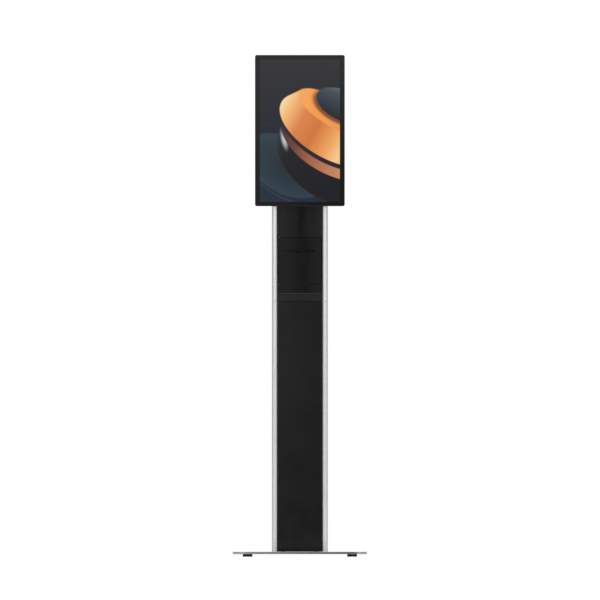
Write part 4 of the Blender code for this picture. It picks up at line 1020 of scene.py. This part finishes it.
def status_lamps():
    front = box_of("status_board").y0
    places = [(number - 4) * 0.0144 for number in range(9)]
    low, high = (-0.0017, front - 0.0007, 0.8806), (0.0017, front + 0.0002, 0.8834)
    lamps = [bar((x + low[0], *low[1:]), (x + high[0], *high[1:]), 0.0003, 1) for x in places]
    piece("status_lamp_chips", together(*lamps), "nylon")


# The display.

DISPLAY = box_of("display_frame")
DISPLAY_CORNER = 0.0065
OPENING = (0.2935, 0.4970)
GLASS_CORNER = 0.0048
REBATE_GAP = 0.0003
REBATE_DEPTH = 0.0036


def display_front():
    b = DISPLAY
    outer = rounded(b.w, b.h, DISPLAY_CORNER, steps=12)
    opening = rounded(*OPENING, 0.002, steps=3)
    ring = prism([outer, opening], b.d, b.centre, "Y", 0.0007, 3)
    gap = REBATE_GAP
    rebate = rounded(GLASS.w + 2 * gap, GLASS.h + 2 * gap, GLASS_CORNER + gap, steps=12)
    ring = carved(ring, prism([rebate], 2 * REBATE_DEPTH, (b.cx, b.y0, b.cz), "Y"))
    piece("display_surround", ring, "matt_black", "display_frame")
    sheet = prism([rounded(GLASS.w, GLASS.h, GLASS_CORNER, steps=12)], GLASS.d, GLASS.centre, "Y", 0.0005)
    piece("touch_glass", sheet, "screen_glass", "display_glass")


def dished(b, inset, front, back, radius, steps=8):
    """A tray with a round rear edge, as rings of rounded rectangles from its front to its back."""
    turns = [math.pi / 2 * i / steps for i in range(steps + 1)]
    places = [(0, front)] + [(radius * (1 - math.cos(t)), back - radius * (1 - math.sin(t))) for t in turns]
    rings = []
    for shrink, y in places:
        cut = inset + shrink
        outline = rounded(b.w - 2 * cut, b.h - 2 * cut, max(DISPLAY_CORNER - cut, 0.0006), steps=8)
        rings.append([(b.cx + x, y, b.cz + z) for x, z in outline])
    return ringed(rings)


def display_back():
    b = box_of("rear_cover")
    wall = 0.0025
    outer = dished(b, 0, b.y0, b.y1, 0.010)
    inner = dished(b, wall, b.y0 - 0.002, b.y1 - wall, 0.0078)
    slots = [((number - 3) * 0.018, row * 0.150) for row in (-1, 1) for number in range(7)]
    cutters = [prism([rounded(0.003, 0.040, 0.0014, (x, 0), 4)], 0.012, (0, b.y1, b.cz + z), "Y") for x, z in slots]
    holes = [(x, z) for x in (-0.05, 0.05) for z in (-0.05, 0.05)]
    cutters += [prism([circle(0.0022, sides=22)], 0.012, (x, b.y1, b.cz + z), "Y") for x, z in holes]
    button = box_of("power_button")
    hole = prism([circle(0.0045, sides=32)], 0.010, (b.x1, button.cy, button.cz), "X")
    shell = carved(carved(outer, inner), together(*cutters), hole)
    piece("display_rear_shell", shell, "matt_black", "rear_cover")


def power_button():
    b = box_of("power_button")
    radius, collar, edge = 0.0042, 0.0057, 0.0006
    lip = DISPLAY.x1 - 0.0028
    profile = [(0, b.x1 - 0.0003), (0.0022, b.x1 - 0.0002), *shoulder(radius, b.x1, edge, 3)]
    profile += [(radius, lip), (collar, lip), (collar, b.x0), (0, b.x0)]
    piece("power_key", turned(profile, (0, b.cy, b.cz), "X", 40), "matt_black", "power_button", body="power_button")


BUILDERS = [base_plate, feet, column_bolts, rails, seam_shade_shims, front_panel, status_strip, printer_door, fascia, cap]
BUILDERS += [service_door, rear_skirt, back_cover, rear_joint, power_inlet, rocker, lock, power_supply, cable_duct]
BUILDERS += [paper_and_spindle, platen, feed_motor, thermal_head, cutter_blade, status_lamps, display_front]
BUILDERS += [display_back, power_button]
for build in BUILDERS:
    build()


def dress_frame():
    """The CAD pieces that stay get their finish, softened edges and smooth shading."""
    for node, obj in frame["nodes"].items():
        obj.data.materials.clear()
        obj.data.materials.append(MATERIALS[SLOT_OF[node]])
        obj.modifiers.new("Weld", "WELD").merge_threshold = 1e-5
        bevel = obj.modifiers.new("Bevel", "BEVEL")
        bevel.width = 0.0003
        bevel.segments = 2
        bevel.limit_method = "ANGLE"
        bevel.angle_limit = SHARP
        even_normals(obj)


dress_frame()


# The studio: a pale floor, a white room, and see-through screens that dim parts of what the front reflects.


def stage(name, corners, material):
    """A flat sheet of the studio, which is no part of the object."""
    mesh = bpy.data.meshes.new(name)
    mesh.from_pydata(corners, [], [(0, 1, 2, 3)])
    mesh.materials.append(material)
    obj = linked(name, mesh)
    return obj


def see_through(name, y, low, high, share_of):
    """An upright screen at this y, unseen itself, that lets through the share that share_of gives at each point."""
    material = bpy.data.materials.new(name)
    material.use_nodes = True
    material.node_tree.nodes.clear()
    s = Nodes(material.node_tree)
    at = s.place()
    share = share_of(s, s.axis("X", at), s.axis("Z", at))
    clear = s.node("ShaderNodeBsdfTransparent", i0=s.mix(share, (0, 0, 0), (1, 1, 1)))
    s.node("ShaderNodeOutputMaterial", i0=clear.outputs[0])
    corners = [(low[0], y, low[1]), (high[0], y, low[1]), (high[0], y, high[1]), (low[0], y, high[1])]
    screen = stage(name, corners, material)
    screen.visible_camera = screen.visible_diffuse = screen.visible_shadow = False
    return screen


def well(s, x, centre, half, depth):
    """1 far from the centre, lower by the depth at it."""
    away = s.math("DIVIDE", s.math("SUBTRACT", x, centre), half)
    hollow = s.math("EXPONENT", s.times(s.times(away, away), -1.0))
    return s.math("SUBTRACT", 1.0, s.times(hollow, depth))


def floor_share(s, x, z):
    """The room gets dimmer towards the floor."""
    return s.spread(z, 0.0, 0.9, 0.68, 1.0)


def wall_share(s, x, z):
    """The wall behind the camera: a dimmer patch low in its middle, and a dim strip at either side."""
    height = s.spread(z, 1.13, 1.74, 1, 0, smooth=True)
    share = floor_share(s, x, z)
    for centre, half, depth in ((0.08, 0.50, 0.62), (0.11, 0.15, 0.45), (-0.56, 0.17, 0.25), (0.76, 0.19, 0.25)):
        share = s.times(share, well(s, x, centre, half, s.times(height, depth)))
    return share


def flag_share(s, x, z):
    """A low flag in front of the base plate, denser to the right."""
    edge = s.spread(z, 0.018, 0.032, 0, 1, smooth=True)
    return s.math("MAXIMUM", s.spread(x, -0.22, 0.20, 0.62, 0.05), edge)


def floor():
    reach = 25.0
    corners = [(-reach, -reach, 0), (reach, -reach, 0), (reach, reach, 0), (-reach, reach, 0)]
    Surface("studio_floor", (0.82, 0.82, 0.82), 0.6, 0.0, 0.2)
    stage("studio_floor", corners, MATERIALS["studio_floor"])


def compass(degrees):
    """A level direction, turned this far from straight ahead of the object towards +X."""
    return (math.sin(math.radians(degrees)), -math.cos(math.radians(degrees)), 0)


def room():
    """White to the camera; to everything else brightest straight ahead of the object, and dimmer round the sides."""
    world = bpy.context.scene.world = bpy.data.worlds.new("room")
    world.use_nodes = True
    world.node_tree.nodes.clear()
    s = Nodes(world.node_tree)
    direction = s.node("ShaderNodeTexCoord").outputs["Generated"]
    ahead, window, sideways, up = (
        s.measure("DOT_PRODUCT", direction, way) for way in (compass(-7), compass(3), compass(90), (0, 0, 1))
    )
    front = s.spread(ahead, 0, 1, 0, 1)
    level = s.plus(s.spread(sideways, -1, 1, 0.39, 0.47), s.times(s.times(front, front), 0.43))
    level = s.plus(level, s.spread(window, 0.78, 0.93, 0, 0.66, smooth=True))
    level = s.plus(level, s.spread(up, 0.25, 1, 0, 0.45, smooth=True))
    light, seen = (s.node("ShaderNodeBackground", i0=(1, 1, 1, 1), i1=share).outputs[0] for share in (level, 1.0))
    path = s.node("ShaderNodeLightPath").outputs["Is Camera Ray"]
    both = s.node("ShaderNodeMixShader", i0=path, i1=light, i2=seen)
    s.node("ShaderNodeOutputWorld", i0=both.outputs[0])


def lamp(name, place, aim, size, watts):
    light = bpy.data.lights.new(name, "AREA")
    light.shape = "RECTANGLE"
    light.size, light.size_y = size
    light.energy = watts
    obj = linked(name, light)
    obj.location = place
    obj.rotation_euler = (Vector(aim) - Vector(place)).to_track_quat("-Z", "Y").to_euler()
    obj.visible_camera = obj.visible_glossy = False


VIEW_WIDTH = 2.0097
VIEW_CENTRE = (0.0004, 0.8598)


def camera():
    data = bpy.data.cameras.new("camera")
    data.type = "ORTHO"
    data.ortho_scale = VIEW_WIDTH
    data.clip_end = 60
    obj = bpy.context.scene.camera = linked("camera", data)
    obj.location = (VIEW_CENTRE[0], -5.0, VIEW_CENTRE[1])
    obj.rotation_euler = (math.pi / 2, 0, 0)


WALL_Y = -2.9
WALL_X = 6.0
see_through("dim_wall", WALL_Y, (-WALL_X, -1.0), (WALL_X, 3.0), wall_share)
for side, x in (("left", -WALL_X), ("right", WALL_X)):
    dim_side = see_through(f"dim_side_{side}", 0.0, (WALL_Y, -1.0), (6.0, 3.0), floor_share)
    dim_side.rotation_euler.z = math.radians(90)
    dim_side.location.x = x
see_through("low_flag", -0.30, (-0.24, 0.001), (0.24, 0.033), flag_share)
floor()
room()
lamp("key_light", (-2.4, -2.6, 2.6), (0, 0, 1.0), (1.6, 1.6), 25)
lamp("top_light", (0.4, 0.6, 3.4), (0, 0, 0), (3.0, 3.0), 30)
lamp("rear_light", (1.2, 3.0, 2.6), (0, 0, 0.9), (2.0, 1.4), 20)
camera()
bpy.context.scene.view_settings.view_transform = "Standard"
